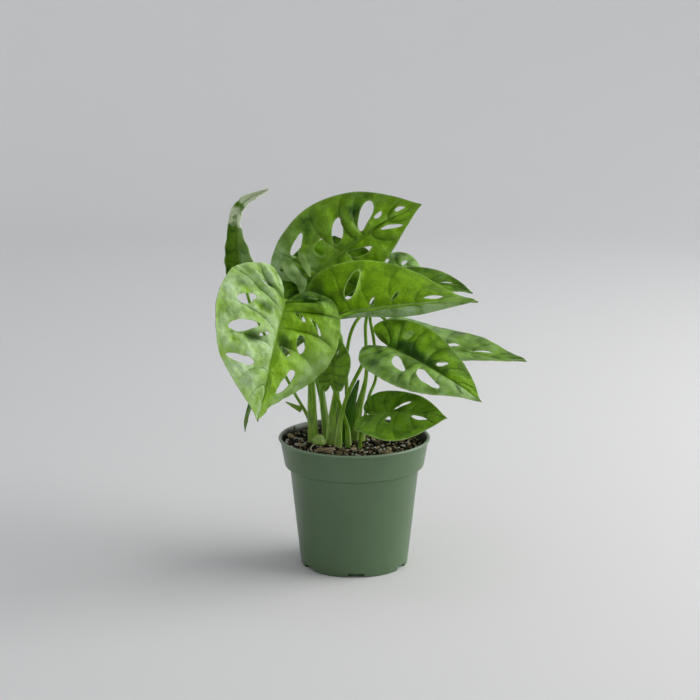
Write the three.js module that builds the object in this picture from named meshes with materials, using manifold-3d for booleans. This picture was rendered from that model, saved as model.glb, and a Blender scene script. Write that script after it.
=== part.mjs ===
import * as THREE from 'three';
import { mergeVertices } from 'three/addons/utils/BufferGeometryUtils.js';
import Module from 'manifold-3d';

// A young swiss cheese vine in a round nursery pot. Millimetres, +Z up. The origin is the middle of
// the pot's base, on the ground, and the side shown first faces -Y.

const wasm = await Module();
wasm.setup();

const GAP = 0.35;            // clearance between pieces that touch on the real plant
const HOLE_GAP = 0.6;        // clearance round a stalk in its hole in the soil
const CHIP_GAP = 0.5;        // clearance round a bark chip in the hollow it lies in
const SEAT = 0.05;           // how far a stalk's end stays from the middle of its blade's underside
const LAST_BEND = { back: 4, under: 2.5 };   // where a stalk's last bend lies, seen from its end
const BLADE = 0.9;           // thickness of a leaf blade
const STALK_SIDES = 6;

const pot = {
  height: 90.7,
  lipRadius: 52.5,
  lipHeight: 2.2,
  collarTopRadius: 51.3,
  collarFootRadius: 48.4,
  collarFoot: 71,            // height at which the collar steps in to the body
  bodyTopRadius: 44.6,
  baseRadius: 37.2,
  wall: 1.3,
  floor: 2,
  chamfer: 0.8,              // on the bottom edge and at the collar's foot
  bead: 1.8,                 // width of the lip's top
  sides: 48,
  notches: 6,                // drain notches in the bottom edge
  notchWidth: 12,
  notchHeight: 2.8,
  notchDepth: 5,
  firstNotch: -88,           // degrees round from +X
};

const soil = {
  top: 84,                   // mean height of the surface
  rings: 6,
  edgeDrop: 1.2,             // the surface falls a little towards the wall
  socket: 76,                // height of the bottom of the holes that the stalks stand in
};

// One half of a leaf's outline, from the end of the lobe round to the tip. The first number is a
// share of the lobe's length where it is negative and of the blade's length where it is positive,
// and the second is a share of the half's width.
const OUTLINE = [
  [-0.70, 0.10], [-1.00, 0.38], [-0.62, 0.76], [0.10, 0.98], [0.33, 1.00],
  [0.60, 0.77], [0.82, 0.37], [0.94, 0.11], [1.00, 0.00],
];
const RIB_START = 0.34;      // place along the outline whose side vein leaves the midrib's foot
const RIB_POWER = 1.35;      // how the side veins' feet spread along the midrib

// Each leaf: where its stalk joins it, its heading (degrees round from +X), its rise above level
// and its roll about the midrib, each as the value at the stalk and the change along the midrib,
// then length, left and right half widths and lobes, how far each half folds up at the midrib
// (at the stalk and at the tip), and its holes. Left is seen from above, looking along the leaf.
// The stalk joins from under the face, or from the right side where stalkFrom says left.
// A hole is [half, place along the outline, place from midrib to edge, half width, half length,
// lean], where half is 1 for left and -1 for right.
const leaves = {
  front_left: {
    base: [-47, -10, 187], heading: [-104, -2], rise: [-40, -16], roll: [-36, -12],
    length: 92, width: [43, 50], lobe: [12, 23], fold: [[16, -58], [15, -6]], lobeRise: -20,
    holes: [
      [-1, 0.27, 0.42, 0.029, 0.12, 0.02], [-1, 0.46, 0.57, 0.026, 0.14, 0],
      [-1, 0.58, 0.58, 0.019, 0.24, 0], [-1, 0.62, 0.24, 0.008, 0.09, 0],
      [-1, 0.69, 0.73, 0.018, 0.17, -0.03], [1, 0.43, 0.26, 0.020, 0.09, 0.018],
      [1, 0.43, 0.54, 0.014, 0.10, 0.015], [1, 0.55, 0.43, 0.026, 0.12, 0.008],
      [1, 0.64, 0.28, 0.020, 0.09, 0], [1, 0.68, 0.70, 0.040, 0.13, 0.01],
    ],
  },
  top: {
    base: [-28, 40, 195], heading: [8, 0], rise: [45, -23], roll: [68, 3],
    length: 92, width: [39, 27], lobe: [25, 16], fold: [[8, 7], [7, 5]], lobeRise: -18,
    holes: [
      [1, 0.86, 0.65, 0.022, 0.15, -0.005], [1, 0.77, 0.52, 0.014, 0.11, 0],
      [1, 0.71, 0.54, 0.028, 0.30, -0.013], [1, 0.60, 0.38, 0.027, 0.22, 0.008],
      [1, 0.50, 0.29, 0.034, 0.12, 0.015], [1, 0.38, 0.60, 0.045, 0.13, 0.03],
      [-1, 0.78, 0.59, 0.018, 0.31, -0.015], [-1, 0.63, 0.36, 0.028, 0.24, 0.022],
    ],
  },
  top_back: {
    base: [-14, 60, 187], heading: [93, 0], rise: [67, -21], roll: [0, 0],
    length: 38, width: [34, 32], lobe: [10, 10], fold: [[12, 12], [12, 12]],
    holes: [],
  },
  centre: {
    base: [-10, 0, 177], heading: [-3, 0], rise: [12, -12], roll: [63, -50],
    length: 95, width: [38, 11], lobe: [19, 6], fold: [[0, -7], [-88, -64]], lobeRise: 8,
    stalkFrom: 'left',
    holes: [
      [1, 0.46, 0.43, 0.050, 0.15, 0.03], [1, 0.56, 0.14, 0.012, 0.07, 0],
      [1, 0.65, 0.29, 0.008, 0.12, 0], [1, 0.78, 0.53, 0.024, 0.20, 0],
    ],
  },
  right_back: {
    base: [17, 38, 183], heading: [-2, 0], rise: [28, -53], roll: [49, 3],
    length: 69, width: [13, 12], lobe: [12, 6], fold: [[9, 12], [10, 10]],
    holes: [[1, 0.80, 0.50, 0.012, 0.25, 0]],
  },
  back: {
    base: [23, 58, 191], heading: [12, 0], rise: [68, -131], roll: [36, -5],
    length: 34, width: [13, 12], lobe: [8, 6], fold: [[10, 7], [10, 10]],
    holes: [[1, 0.50, 0.66, 0.020, 0.15, 0], [1, 0.70, 0.35, 0.025, 0.25, 0]],
  },
  right_long: {
    base: [36, 24, 159], heading: [-9, -2], rise: [-22, 22], roll: [9, -2],
    length: 87, width: [32, 29], lobe: [16, 14], fold: [[-4, 14], [-10, 19]],
    holes: [[1, 0.64, 0.24, 0.020, 0.17, 0.01], [1, 0.76, 0.45, 0.022, 0.20, 0.01]],
  },
  right_front: {
    base: [23, -14, 157], heading: [-28, -3], rise: [-16, -13], roll: [28, -10],
    length: 77, width: [26, 31], lobe: [17, 14], fold: [[16, -8], [4, 1]],
    holes: [
      [-1, 0.50, 0.32, 0.050, 0.16, 0.02], [-1, 0.66, 0.52, 0.042, 0.28, 0.01],
      [1, 0.41, 0.53, 0.020, 0.16, -0.01], [1, 0.68, 0.43, 0.014, 0.18, -0.01],
    ],
  },
  low_right: {
    base: [10, -22, 112], heading: [-17, 1], rise: [12, -21], roll: [24, 9],
    length: 55, width: [20, 30], lobe: [5, 7], fold: [[9, -1], [11, -16]],
    holes: [
      [1, 0.63, 0.43, 0.018, 0.25, 0.01], [-1, 0.78, 0.40, 0.035, 0.25, 0.01],
      [-1, 0.57, 0.28, 0.025, 0.12, 0],
    ],
  },
  small: {
    base: [-16, -9, 130], heading: [60, 1], rise: [78, -15], roll: [-11, 6],
    length: 33, width: [12, 19], lobe: [6, 5], fold: [[10, 10], [19, 6]],
    holes: [[-1, 0.80, 0.32, 0.030, 0.20, 0]],
  },
  young: {
    base: [-79, 10, 205], heading: [-31, -11], rise: [94, -69], roll: [82, -1], turn: [0.4, 0.75],
    length: 75, width: [12, 22], lobe: [8, 8], fold: [[20, 20], [14, 43]], curl: [100, 0],
    holes: [],
  },
  drooping: {
    base: [-36, 26, 154], heading: [189, 1], rise: [-34, -46], roll: [2, -3],
    length: 80, width: [13, 13], lobe: [8, 8], fold: [[15, 9], [12, 11]],
    holes: [[1, 0.6, 0.5, 0.02, 0.18, 0]],
  },
};

// Each stalk: the points it passes through from the soil up to near its leaf, its radius in the
// soil and at the leaf, and the share of its length that the wider sheath takes.
const stalks = {
  front_left: { foot: [-29, 8], path: [[-29.5, 7, 105], [-30, 5, 130], [-34, 6, 160], [-42, 4, 182]],
    radius: [3.1, 1.5], sheath: 0.75 },
  top: { foot: [-19, 18], path: [[-22, 25, 110], [-26, 38, 150], [-31, 46, 178]],
    radius: [2.3, 1.4], sheath: 0.5 },
  top_back: { foot: [-10, 26], path: [[-12, 34, 115], [-14, 46, 150], [-15, 55, 174]],
    radius: [2.0, 1.2], sheath: 0.4 },
  centre: { foot: [-16, 7], path: [[-15, 8, 104], [-11.5, 8, 134], [-9, 7, 156]],
    radius: [4.3, 1.4], sheath: 0.5 },
  right_back: { foot: [6, 10], path: [[10, 12, 115], [15, 17, 128], [14, 26, 150], [11, 34, 172]],
    radius: [1.9, 1.1], sheath: 0.3 },
  back: { foot: [-2, 24], path: [[-5, 26, 115], [-5, 27, 145], [0, 36, 162], [13, 50, 174]],
    radius: [2.0, 1.2], sheath: 0.4 },
  right_long: { foot: [-1, 15], path: [[3, 11, 108], [8, 9, 131], [8, 11, 152], [8, 16, 168],
    [11, 19, 176], [20, 22, 170]], radius: [3.3, 1.2], sheath: 0.35 },
  right_front: { foot: [-11, -8], path: [[-10, -7, 100], [-6, -7, 118], [4, -7, 140], [12, -8, 154]],
    radius: [2.4, 1.4], sheath: 0.4 },
  low_right: { foot: [4, -7], path: [[4, -13, 95], [5, -20, 105]],
    radius: [1.8, 1.2], sheath: 0.3 },
  small: { foot: [-4, -1], path: [[-5, -1, 98], [-10, -3, 114]],
    radius: [2.3, 1.3], sheath: 0.5 },
  young: { foot: [-28, 18], path: [[-32, 14, 100], [-42, 9, 120], [-58, 7, 153], [-72, 8, 184]],
    radius: [1.9, 1.1], sheath: 0.3 },
  drooping: { foot: [-21, 30], path: [[-24, 32, 110], [-30, 30, 138]],
    radius: [1.7, 1.1], sheath: 0.3 },
};

// A rolled leaf sheath, thickest a little above the soil and pointed at its end, and the knobbly cut
// end of the old stem.
const rolledSheath = { foot: [-6.5, 8], path: [[-4.5, 8, 100], [-1.5, 7, 114], [3, 6, 129]],
  radius: 2.6, tip: 0.3 };
const stub = { foot: [-24.5, 1.5], radius: 3.3, top: 89, lean: 0.4, knob: 0.12 };
const bract = { path: [[-38.6, 11.2, 107.5], [-42, 10, 109.5], [-47, 9, 112.5]], radius: 1.3, tip: 0.15 };
const barkChips = [
  { centre: [-20, -17], size: [16, 7, 3], turn: 15 },
  { centre: [22, -24], size: [9, 6, 3], turn: -30 },
  { centre: [33, 12], size: [10, 6, 3], turn: 70 },
  { centre: [-38, -4], size: [8, 5, 3], turn: 100 },
];

const colours = {
  pot: { color: 0x5b7358, roughness: 0.45 },
  soil: { color: 0x2b2419, roughness: 0.95 },
  bark: { color: 0x6d5b3c, roughness: 0.9 },
  blade: { color: 0x3f7a1e, roughness: 0.4 },
  stalk: { color: 0x6f9a45, roughness: 0.5 },
  sheath: { color: 0x4c7a2a, roughness: 0.5 },
  stub: { color: 0x8fae62, roughness: 0.6 },
};

const HOLE_SIDES = [7, 9];   // of a small and of a large hole in a leaf
const LARGE_HOLE = 0.002;    // half width times half length from which a hole is large

const radians = THREE.MathUtils.degToRad;
const share = (value) => THREE.MathUtils.clamp(value, 0, 1);
const mix = THREE.MathUtils.lerp;

function piece(name, geometry, finish) {
  const mesh = new THREE.Mesh(geometry, new THREE.MeshStandardMaterial({ metalness: 0, ...finish }));
  mesh.name = name;
  return mesh;
}

function geometryOf(points, triangles) {
  const geometry = new THREE.BufferGeometry();
  const flat = points.flatMap((p) => [p.x, p.y, p.z]);
  geometry.setAttribute('position', new THREE.Float32BufferAttribute(flat, 3));
  geometry.setIndex(triangles.flat());
  geometry.computeVertexNormals();
  return geometry;
}

function toManifold(geometry) {
  const bare = new THREE.BufferGeometry();
  bare.setAttribute('position', geometry.getAttribute('position').clone());
  if (geometry.index) bare.setIndex(geometry.index.clone());
  const merged = mergeVertices(bare, 1e-4);
  return new wasm.Manifold(new wasm.Mesh({
    numProp: 3,
    vertProperties: new Float32Array(merged.getAttribute('position').array),
    triVerts: new Uint32Array(merged.index.array),
  }));
}

function fromManifold(solid) {
  const mesh = solid.getMesh();
  const geometry = new THREE.BufferGeometry();
  geometry.setAttribute('position', new THREE.Float32BufferAttribute(mesh.vertProperties, 3));
  geometry.setIndex(new THREE.Uint32BufferAttribute(mesh.triVerts, 1));
  geometry.computeVertexNormals();
  return geometry;
}

// The flat blade: a place along the outline (0 at the lobe's end, 1 at the tip) and a place from
// the midrib (0) to the edge (1), carried along a side vein that bends towards the tip.
function flatBlade(leaf, half) {
  const width = leaf.width[half];
  const lobe = leaf.lobe[half];
  const edge = new THREE.SplineCurve(OUTLINE.map(([along, across]) =>
    new THREE.Vector2(along * (along < 0 ? lobe : leaf.length), across * width)));
  return (along, across) => {
    const end = edge.getPoint(share(along));
    const foot = leaf.length * share((along - RIB_START) / (1 - RIB_START)) ** RIB_POWER;
    const bendX = foot + 0.2 * (end.x - foot);
    const near = (1 - across) ** 2;
    const middle = 2 * across * (1 - across);
    const far = across ** 2;
    return new THREE.Vector2(near * foot + middle * bendX + far * end.x,
      (middle * 0.55 + far) * end.y);
  };
}

// The midrib in space: its direction turns evenly along the blade. The result gives the midrib's
// point, the leaf's left and its face at a distance along the midrib, negative in the lobes.
function midribOf(leaf) {
  const steps = 90;
  const back = Math.max(...leaf.lobe);
  const [turnFrom, turnTo] = leaf.turn ?? [0, 1];
  const lobeRise = leaf.lobeRise ?? 0;
  const frames = [];
  for (let i = 0; i <= steps; i += 1) {
    const s = -back + (i / steps) * (leaf.length + back);
    const along = s / leaf.length;
    const turned = share((share(along) - turnFrom) / (turnTo - turnFrom));
    const rise = radians(leaf.rise[0] + leaf.rise[1] * turned + lobeRise * share(-s / back));
    const heading = radians(leaf.heading[0] + leaf.heading[1] * along);
    const roll = radians(leaf.roll[0] + leaf.roll[1] * turned);
    const ahead = new THREE.Vector3(Math.cos(rise) * Math.cos(heading),
      Math.cos(rise) * Math.sin(heading), Math.sin(rise));
    const level = new THREE.Vector3(-Math.sin(heading), Math.cos(heading), 0);
    const upright = new THREE.Vector3().crossVectors(ahead, level);
    const left = level.clone().multiplyScalar(Math.cos(roll)).addScaledVector(upright, Math.sin(roll));
    const face = upright.clone().multiplyScalar(Math.cos(roll)).addScaledVector(level, -Math.sin(roll));
    frames.push({ s, ahead, left, face, point: new THREE.Vector3() });
  }
  for (let i = 1; i <= steps; i += 1) {
    const step = frames[i].s - frames[i - 1].s;
    frames[i].point.copy(frames[i - 1].point)
      .addScaledVector(frames[i - 1].ahead, step / 2).addScaledVector(frames[i].ahead, step / 2);
  }
  const at = (s) => {
    const place = THREE.MathUtils.clamp((s + back) / (leaf.length + back), 0, 1) * steps;
    const i = Math.min(Math.floor(place), steps - 1);
    const between = (key) => frames[i][key].clone().lerp(frames[i + 1][key], place - i);
    return { point: between('point'), ahead: between('ahead'), left: between('left'), face: between('face') };
  };
  const shift = new THREE.Vector3(...leaf.base).sub(at(0).point);
  frames.forEach((frame) => frame.point.add(shift));
  return at;
}

// A flat point in space: each half leaves the midrib at its fold and curls evenly from there.
function bladePoint(leaf, midrib, flat) {
  const half = flat.y >= 0 ? 0 : 1;
  const reach = Math.abs(flat.y);
  const { point, left, face } = midrib(flat.x);
  const [foldFoot, foldTip] = leaf.fold[half];
  const fold = radians(mix(foldFoot, foldTip, share(flat.x / leaf.length)));
  const bend = radians((leaf.curl ?? [0, 0])[half] || 0.01) / leaf.width[half];
  const out = (Math.sin(fold + bend * reach) - Math.sin(fold)) / bend;
  const up = (Math.cos(fold) - Math.cos(fold + bend * reach)) / bend;
  return point.addScaledVector(left, half === 0 ? out : -out).addScaledVector(face, up);
}

// Turns the shared edge of two triangles wherever the other diagonal makes them less thin. Edges
// along the midrib stay.
function evenOut(points, triangles) {
  const owner = new Map();
  const key = (a, b) => `${a} ${b}`;
  const claim = (index) => {
    const [a, b, c] = triangles[index];
    owner.set(key(a, b), index).set(key(b, c), index).set(key(c, a), index);
  };
  triangles.forEach((_, index) => claim(index));
  const angle = (corner, a, b) => {
    const toA = points[a].clone().sub(points[corner]);
    const toB = points[b].clone().sub(points[corner]);
    return Math.acos(THREE.MathUtils.clamp(toA.normalize().dot(toB.normalize()), -1, 1));
  };
  const onMidrib = (i) => Math.abs(points[i].y) < 1e-9;
  let turned = true;
  for (let pass = 0; turned && pass < 30; pass += 1) {
    turned = false;
    for (let index = 0; index < triangles.length; index += 1) {
      for (let corner = 0; corner < 3; corner += 1) {
        const [a, b, c] = [0, 1, 2].map((k) => triangles[index][(corner + k) % 3]);
        const other = owner.get(key(b, a));
        if (other === undefined || (onMidrib(a) && onMidrib(b))) continue;
        const d = triangles[other].find((i) => i !== a && i !== b);
        if (angle(c, a, b) + angle(d, a, b) < Math.PI + 1e-6) continue;
        for (const edge of [key(a, b), key(b, a)]) owner.delete(edge);
        triangles[index] = [a, d, c];
        triangles[other] = [d, b, c];
        claim(index);
        claim(other);
        turned = true;
        break;
      }
    }
  }
}

// Cuts every edge longer than the limit at its middle, in all triangles that share it, until none
// is left.
function refine(points, triangles, limit) {
  let current = triangles;
  for (;;) {
    evenOut(points, current);
    const middles = new Map();
    const middleOf = (a, b) => {
      const key = a < b ? `${a} ${b}` : `${b} ${a}`;
      if (!middles.has(key)) {
        const long = points[a].distanceTo(points[b]) > limit;
        if (long) points.push(points[a].clone().lerp(points[b], 0.5));
        middles.set(key, long ? points.length - 1 : -1);
      }
      return middles.get(key);
    };
    const next = [];
    for (const [a, b, c] of current) {
      const [ab, bc, ca] = [middleOf(a, b), middleOf(b, c), middleOf(c, a)];
      const cuts = [ab, bc, ca].filter((m) => m >= 0).length;
      if (cuts === 0) next.push([a, b, c]);
      else if (cuts === 3) next.push([a, ab, ca], [ab, b, bc], [ca, bc, c], [ab, bc, ca]);
      else if (cuts === 1) {
        if (ab >= 0) next.push([a, ab, c], [ab, b, c]);
        else if (bc >= 0) next.push([a, b, bc], [a, bc, c]);
        else next.push([a, b, ca], [ca, b, c]);
      } else if (ab < 0) next.push([a, b, bc], [a, bc, ca], [ca, bc, c]);
      else if (bc < 0) next.push([b, c, ca], [b, ca, ab], [ab, ca, a]);
      else next.push([c, a, ab], [c, ab, bc], [bc, ab, b]);
    }
    if (next.length === current.length) return next;
    current = next;
  }
}

function holeOutline(flat, [, along, across, halfWidth, halfLength, lean]) {
  const sides = HOLE_SIDES[halfLength * halfWidth > LARGE_HOLE ? 1 : 0];
  return Array.from({ length: sides }, (_, i) => {
    const angle = (i / sides) * 2 * Math.PI;
    return flat(along + halfWidth * Math.cos(angle) + lean * Math.sin(angle),
      across + halfLength * Math.sin(angle));
  });
}

// A leaf blade: both halves are cut to their outline and holes on the flat, split into small
// triangles, bent into space and given their thickness, with both faces split alike. A longer leaf
// has more steps round its outline and longer triangles.
function bladeGeometry(leaf) {
  const outlineSteps = Math.round(10 + leaf.length / 9);
  const lobeSteps = 3;
  const limit = 6 + leaf.length / 12;
  const points = [];
  const triangles = [];
  const indexOf = (p) => {
    const found = points.findIndex((q) => q.distanceTo(p) < 1e-6);
    return found >= 0 ? found : points.push(p) - 1;
  };
  for (const half of [0, 1]) {
    const side = half === 0 ? 1 : -1;
    const flat = flatBlade(leaf, half);
    const mirrored = (p) => new THREE.Vector2(p.x, side * p.y);
    const contour = [new THREE.Vector2(0, 0)];
    for (let i = 1; i <= lobeSteps; i += 1) contour.push(mirrored(flat(0, i / lobeSteps)));
    for (let i = 1; i < outlineSteps; i += 1) contour.push(mirrored(flat(i / outlineSteps, 1)));
    contour.push(new THREE.Vector2(leaf.length, 0));
    const holes = leaf.holes.filter((hole) => hole[0] === side)
      .map((hole) => holeOutline(flat, hole).map(mirrored));
    const all = [contour, ...holes].flat();
    for (const face of THREE.ShapeUtils.triangulateShape(contour, holes)) {
      const [a, b, c] = face.map((i) => all[i]);
      const turn = (b.x - a.x) * (c.y - a.y) - (b.y - a.y) * (c.x - a.x);
      const corners = [a, b, c].map(indexOf);
      triangles.push(turn > 0 ? corners : corners.reverse());
    }
  }
  const small = refine(points, triangles, limit);
  const midrib = midribOf(leaf);
  const middle = points.map((p) => bladePoint(leaf, midrib, p));
  const normals = middle.map(() => new THREE.Vector3());
  for (const [a, b, c] of small) {
    const normal = middle[b].clone().sub(middle[a]).cross(middle[c].clone().sub(middle[a]));
    for (const i of [a, b, c]) normals[i].add(normal);
  }
  const layer = (offset) => middle.map((p, i) =>
    p.clone().addScaledVector(normals[i].clone().normalize(), offset));
  const count = points.length;
  const shell = [];
  const edges = new Set(small.flatMap(([a, b, c]) => [`${a} ${b}`, `${b} ${c}`, `${c} ${a}`]));
  for (const [a, b, c] of small) {
    shell.push([a, b, c], [c + count, b + count, a + count]);
    for (const [p, q] of [[a, b], [b, c], [c, a]]) {
      if (!edges.has(`${q} ${p}`)) shell.push([p, p + count, q + count], [p, q + count, q]);
    }
  }
  return geometryOf([...layer(BLADE / 2), ...layer(-BLADE / 2)], shell);
}

// A round bar along a smooth path, with its radius given by a function of the share of the path.
function barGeometry(path, radiusAt, steps, sides = STALK_SIDES) {
  const curve = new THREE.CatmullRomCurve3(path.map((p) => new THREE.Vector3(...p)));
  const frames = curve.computeFrenetFrames(steps, false);
  const points = [];
  for (let i = 0; i <= steps; i += 1) {
    const centre = curve.getPointAt(i / steps);
    const radius = radiusAt(i / steps);
    for (let j = 0; j < sides; j += 1) {
      const angle = (j / sides) * 2 * Math.PI;
      points.push(centre.clone().addScaledVector(frames.normals[i], radius * Math.cos(angle))
        .addScaledVector(frames.binormals[i], radius * Math.sin(angle)));
    }
  }
  const triangles = [];
  for (let i = 0; i < steps; i += 1) {
    for (let j = 0; j < sides; j += 1) {
      const [a, b] = [i * sides + j, i * sides + ((j + 1) % sides)];
      triangles.push([a, b, b + sides], [a, b + sides, a + sides]);
    }
  }
  const last = steps * sides;
  for (let j = 1; j < sides - 1; j += 1) {
    triangles.push([0, j + 1, j], [last, last + j, last + j + 1]);
  }
  return geometryOf(points, triangles);
}

// A stalk comes up out of its hole in the soil and ends just under the foot of its leaf's midrib.
function stalkPath(name) {
  const { foot, path, radius } = stalks[name];
  const frame = midribOf(leaves[name])(0);
  const away = frame[leaves[name].stalkFrom ?? 'face'];
  const end = frame.point.clone().addScaledVector(away, -(BLADE / 2 + SEAT + radius[1]));
  const lead = end.clone().addScaledVector(frame.ahead, -LAST_BEND.back)
    .addScaledVector(away, -LAST_BEND.under);
  return [[...foot, soil.socket + GAP], [...foot, soil.top + 2], ...path, lead.toArray(), end.toArray()];
}

function stalkRadius({ radius, sheath }) {
  return (along) => radius[1] + (radius[0] - radius[1]) * (1 - THREE.MathUtils.smoothstep(along, 0, sheath));
}

function stalkGeometry(name) {
  const path = stalkPath(name);
  const steps = path.length * 2 + 2;
  return barGeometry(path, stalkRadius(stalks[name]), steps);
}

// The pot's wall and floor, turned round the middle, with drain notches cut in the bottom edge.
function potGeometry() {
  const { height, wall, lipRadius, lipHeight, collarFoot, chamfer, bead } = pot;
  const outline = [
    [0, 0], [pot.baseRadius - chamfer, 0], [pot.baseRadius, chamfer], [pot.bodyTopRadius, collarFoot - 2],
    [pot.collarFootRadius - chamfer, collarFoot], [pot.collarFootRadius, collarFoot + chamfer],
    [pot.collarTopRadius, height - lipHeight], [lipRadius, height - 0.8 * lipHeight],
    [lipRadius, height - 0.3 * lipHeight], [lipRadius - 0.4 * bead, height],
    [lipRadius - bead, height - 0.1 * lipHeight],
    [pot.collarTopRadius - wall, height - lipHeight], [pot.collarFootRadius - wall, collarFoot + 2],
    [pot.bodyTopRadius - wall, collarFoot - 1], [pot.baseRadius - wall, pot.floor], [0, pot.floor],
  ];
  const turned = new THREE.LatheGeometry(outline.map(([r, z]) => new THREE.Vector2(r, z)), pot.sides);
  turned.rotateX(Math.PI / 2);
  let solid = toManifold(turned);
  for (let i = 0; i < pot.notches; i += 1) {
    const notch = new THREE.BoxGeometry(pot.notchDepth * 2, pot.notchWidth, pot.notchHeight * 2);
    notch.translate(pot.baseRadius, 0, 0);
    notch.rotateZ(radians(pot.firstNotch + (i * 360) / pot.notches));
    solid = solid.subtract(toManifold(notch));
  }
  return fromManifold(solid);
}

// Low lumps and hollows in the potting mix, falling a little towards the wall.
function soilHeight(x, y) {
  const lumps = 0.7 * Math.sin(x / 5 + 1) * Math.cos(y / 4.3) + 0.4 * Math.sin((x + y) / 2.9 + 2);
  const fromMiddle = Math.hypot(x, y) / pot.collarTopRadius;
  return soil.top + lumps - soil.edgeDrop * fromMiddle ** 4;
}

function soilGeometry(standing) {
  const { rings } = soil;
  const sectors = pot.sides;
  const innerRadius = (z) => {
    const collarTop = pot.height - pot.lipHeight;
    const along = (z - pot.collarFoot - 2) / (collarTop - pot.collarFoot - 2);
    return mix(pot.collarFootRadius, pot.collarTopRadius, along) - pot.wall - GAP;
  };
  const rows = [];
  for (let i = 1; i <= rings; i += 1) {
    rows.push((angle) => {
      const r = (i / rings) * innerRadius(soil.top - 2);
      const [x, y] = [r * Math.cos(angle), r * Math.sin(angle)];
      return new THREE.Vector3(x, y, soilHeight(x, y));
    });
  }
  const ring = (r, z) => (angle) => new THREE.Vector3(r * Math.cos(angle), r * Math.sin(angle), z);
  rows.push(ring(pot.collarFootRadius - pot.wall - GAP, pot.collarFoot + 2 + GAP));
  rows.push(ring(pot.bodyTopRadius - pot.wall - GAP, pot.collarFoot - 1 + GAP));
  rows.push(ring(pot.baseRadius - pot.wall - GAP, pot.floor + GAP));
  const points = [new THREE.Vector3(0, 0, soilHeight(0, 0))];
  for (const row of rows) {
    for (let j = 0; j < sectors; j += 1) points.push(row((j / sectors) * 2 * Math.PI));
  }
  points.push(new THREE.Vector3(0, 0, pot.floor + GAP));
  const at = (row, j) => 1 + row * sectors + (j % sectors);
  const triangles = [];
  for (let j = 0; j < sectors; j += 1) {
    triangles.push([0, at(0, j), at(0, j + 1)]);
    for (let row = 1; row < rows.length; row += 1) {
      triangles.push([at(row - 1, j), at(row, j), at(row, j + 1)]);
      triangles.push([at(row - 1, j), at(row, j + 1), at(row - 1, j + 1)]);
    }
    triangles.push([points.length - 1, at(rows.length - 1, j + 1), at(rows.length - 1, j)]);
  }
  let solid = toManifold(geometryOf(points, triangles));
  for (const geometry of standing) solid = solid.subtract(toManifold(geometry));
  return fromManifold(solid);
}

// What stands in the soil, made wider by the clearance and open upwards: it cuts the plain holes.
function holeFor([x, y], radius) {
  const above = soil.top + 12;
  const wide = radius + HOLE_GAP;
  const hole = new THREE.CylinderGeometry(wide, wide, above - soil.socket, 12);
  hole.rotateX(Math.PI / 2);
  hole.translate(x, y, (above + soil.socket) / 2);
  return hole;
}

// Its width follows the middle and end of a half wave, so it swells early and closes to a point.
function rolledSheathGeometry() {
  const { foot, path, radius, tip } = rolledSheath;
  const swell = (along) => tip + radius * Math.sin(Math.PI * (0.28 + 0.7 * along)) ** 0.8;
  return barGeometry([[...foot, soil.socket + GAP], [...foot, soil.top + 2], ...path], swell, 10);
}

// The cut end of the old stem: a short post with two swollen rings where leaves were.
function stubGeometry() {
  const { foot: [x, y], radius, top, lean, knob } = stub;
  const knobbly = (along) => radius * (1 - knob * Math.cos(along * 4.5 * Math.PI));
  const path = [[x, y, soil.socket + GAP], [x, y, soil.top], [x + lean, y, top]];
  return barGeometry(path, knobbly, 8, 10);
}

function bractGeometry() {
  return barGeometry(bract.path, (along) => bract.tip + bract.radius * (1 - along) ** 0.7, 6, 6);
}

// A chip lies a little more than half sunk in the soil. The same shape, grown, makes its hollow.
function chipGeometry({ centre, size, turn }, grow) {
  const [x, y] = centre;
  const chip = new THREE.IcosahedronGeometry(0.5, 1);
  chip.deleteAttribute('normal');
  chip.deleteAttribute('uv');
  chip.scale(size[0] + 2 * grow, size[1] + 2 * grow, size[2] + 2 * grow);
  chip.rotateZ(radians(turn));
  chip.translate(x, y, soilHeight(x, y) + size[2] / 4);
  return mergeVertices(chip, 1e-4);
}

const vine = new THREE.Group();
vine.add(piece('pot', potGeometry(), colours.pot));

const standing = Object.values(stalks).map(({ foot, radius }) => holeFor(foot, radius[0]));
standing.push(holeFor(rolledSheath.foot, rolledSheath.radius));
standing.push(holeFor(stub.foot, stub.radius * (1 + stub.knob)));
standing.push(...barkChips.map((chip) => chipGeometry(chip, CHIP_GAP)));
vine.add(piece('potting_soil', soilGeometry(standing), colours.soil));
barkChips.forEach((chip, i) => vine.add(piece(`bark_chip_${i + 1}`, chipGeometry(chip, 0), colours.bark)));

for (const [name, leaf] of Object.entries(leaves)) {
  vine.add(piece(`leaf_${name}`, bladeGeometry(leaf), colours.blade));
  vine.add(piece(`stalk_${name}`, stalkGeometry(name), colours.stalk));
}
vine.add(piece('rolled_sheath', rolledSheathGeometry(), colours.sheath));
vine.add(piece('cutting_stub', stubGeometry(), colours.stub));
vine.add(piece('bract', bractGeometry(), colours.sheath));

export default vine;
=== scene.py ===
import math

import bpy
import numpy as np
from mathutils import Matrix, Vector


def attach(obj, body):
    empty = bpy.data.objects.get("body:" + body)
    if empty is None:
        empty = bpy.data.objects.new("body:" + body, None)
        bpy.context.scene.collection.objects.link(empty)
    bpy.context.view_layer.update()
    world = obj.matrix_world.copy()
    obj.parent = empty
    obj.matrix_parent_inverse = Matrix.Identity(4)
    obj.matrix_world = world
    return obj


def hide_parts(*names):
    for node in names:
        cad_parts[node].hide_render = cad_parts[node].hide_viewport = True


# A young swiss cheese vine in a round nursery pot. Sizes are in millimetres, in the frame of the
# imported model, and become metres where a mesh is made. The side shown first faces -Y.

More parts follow.
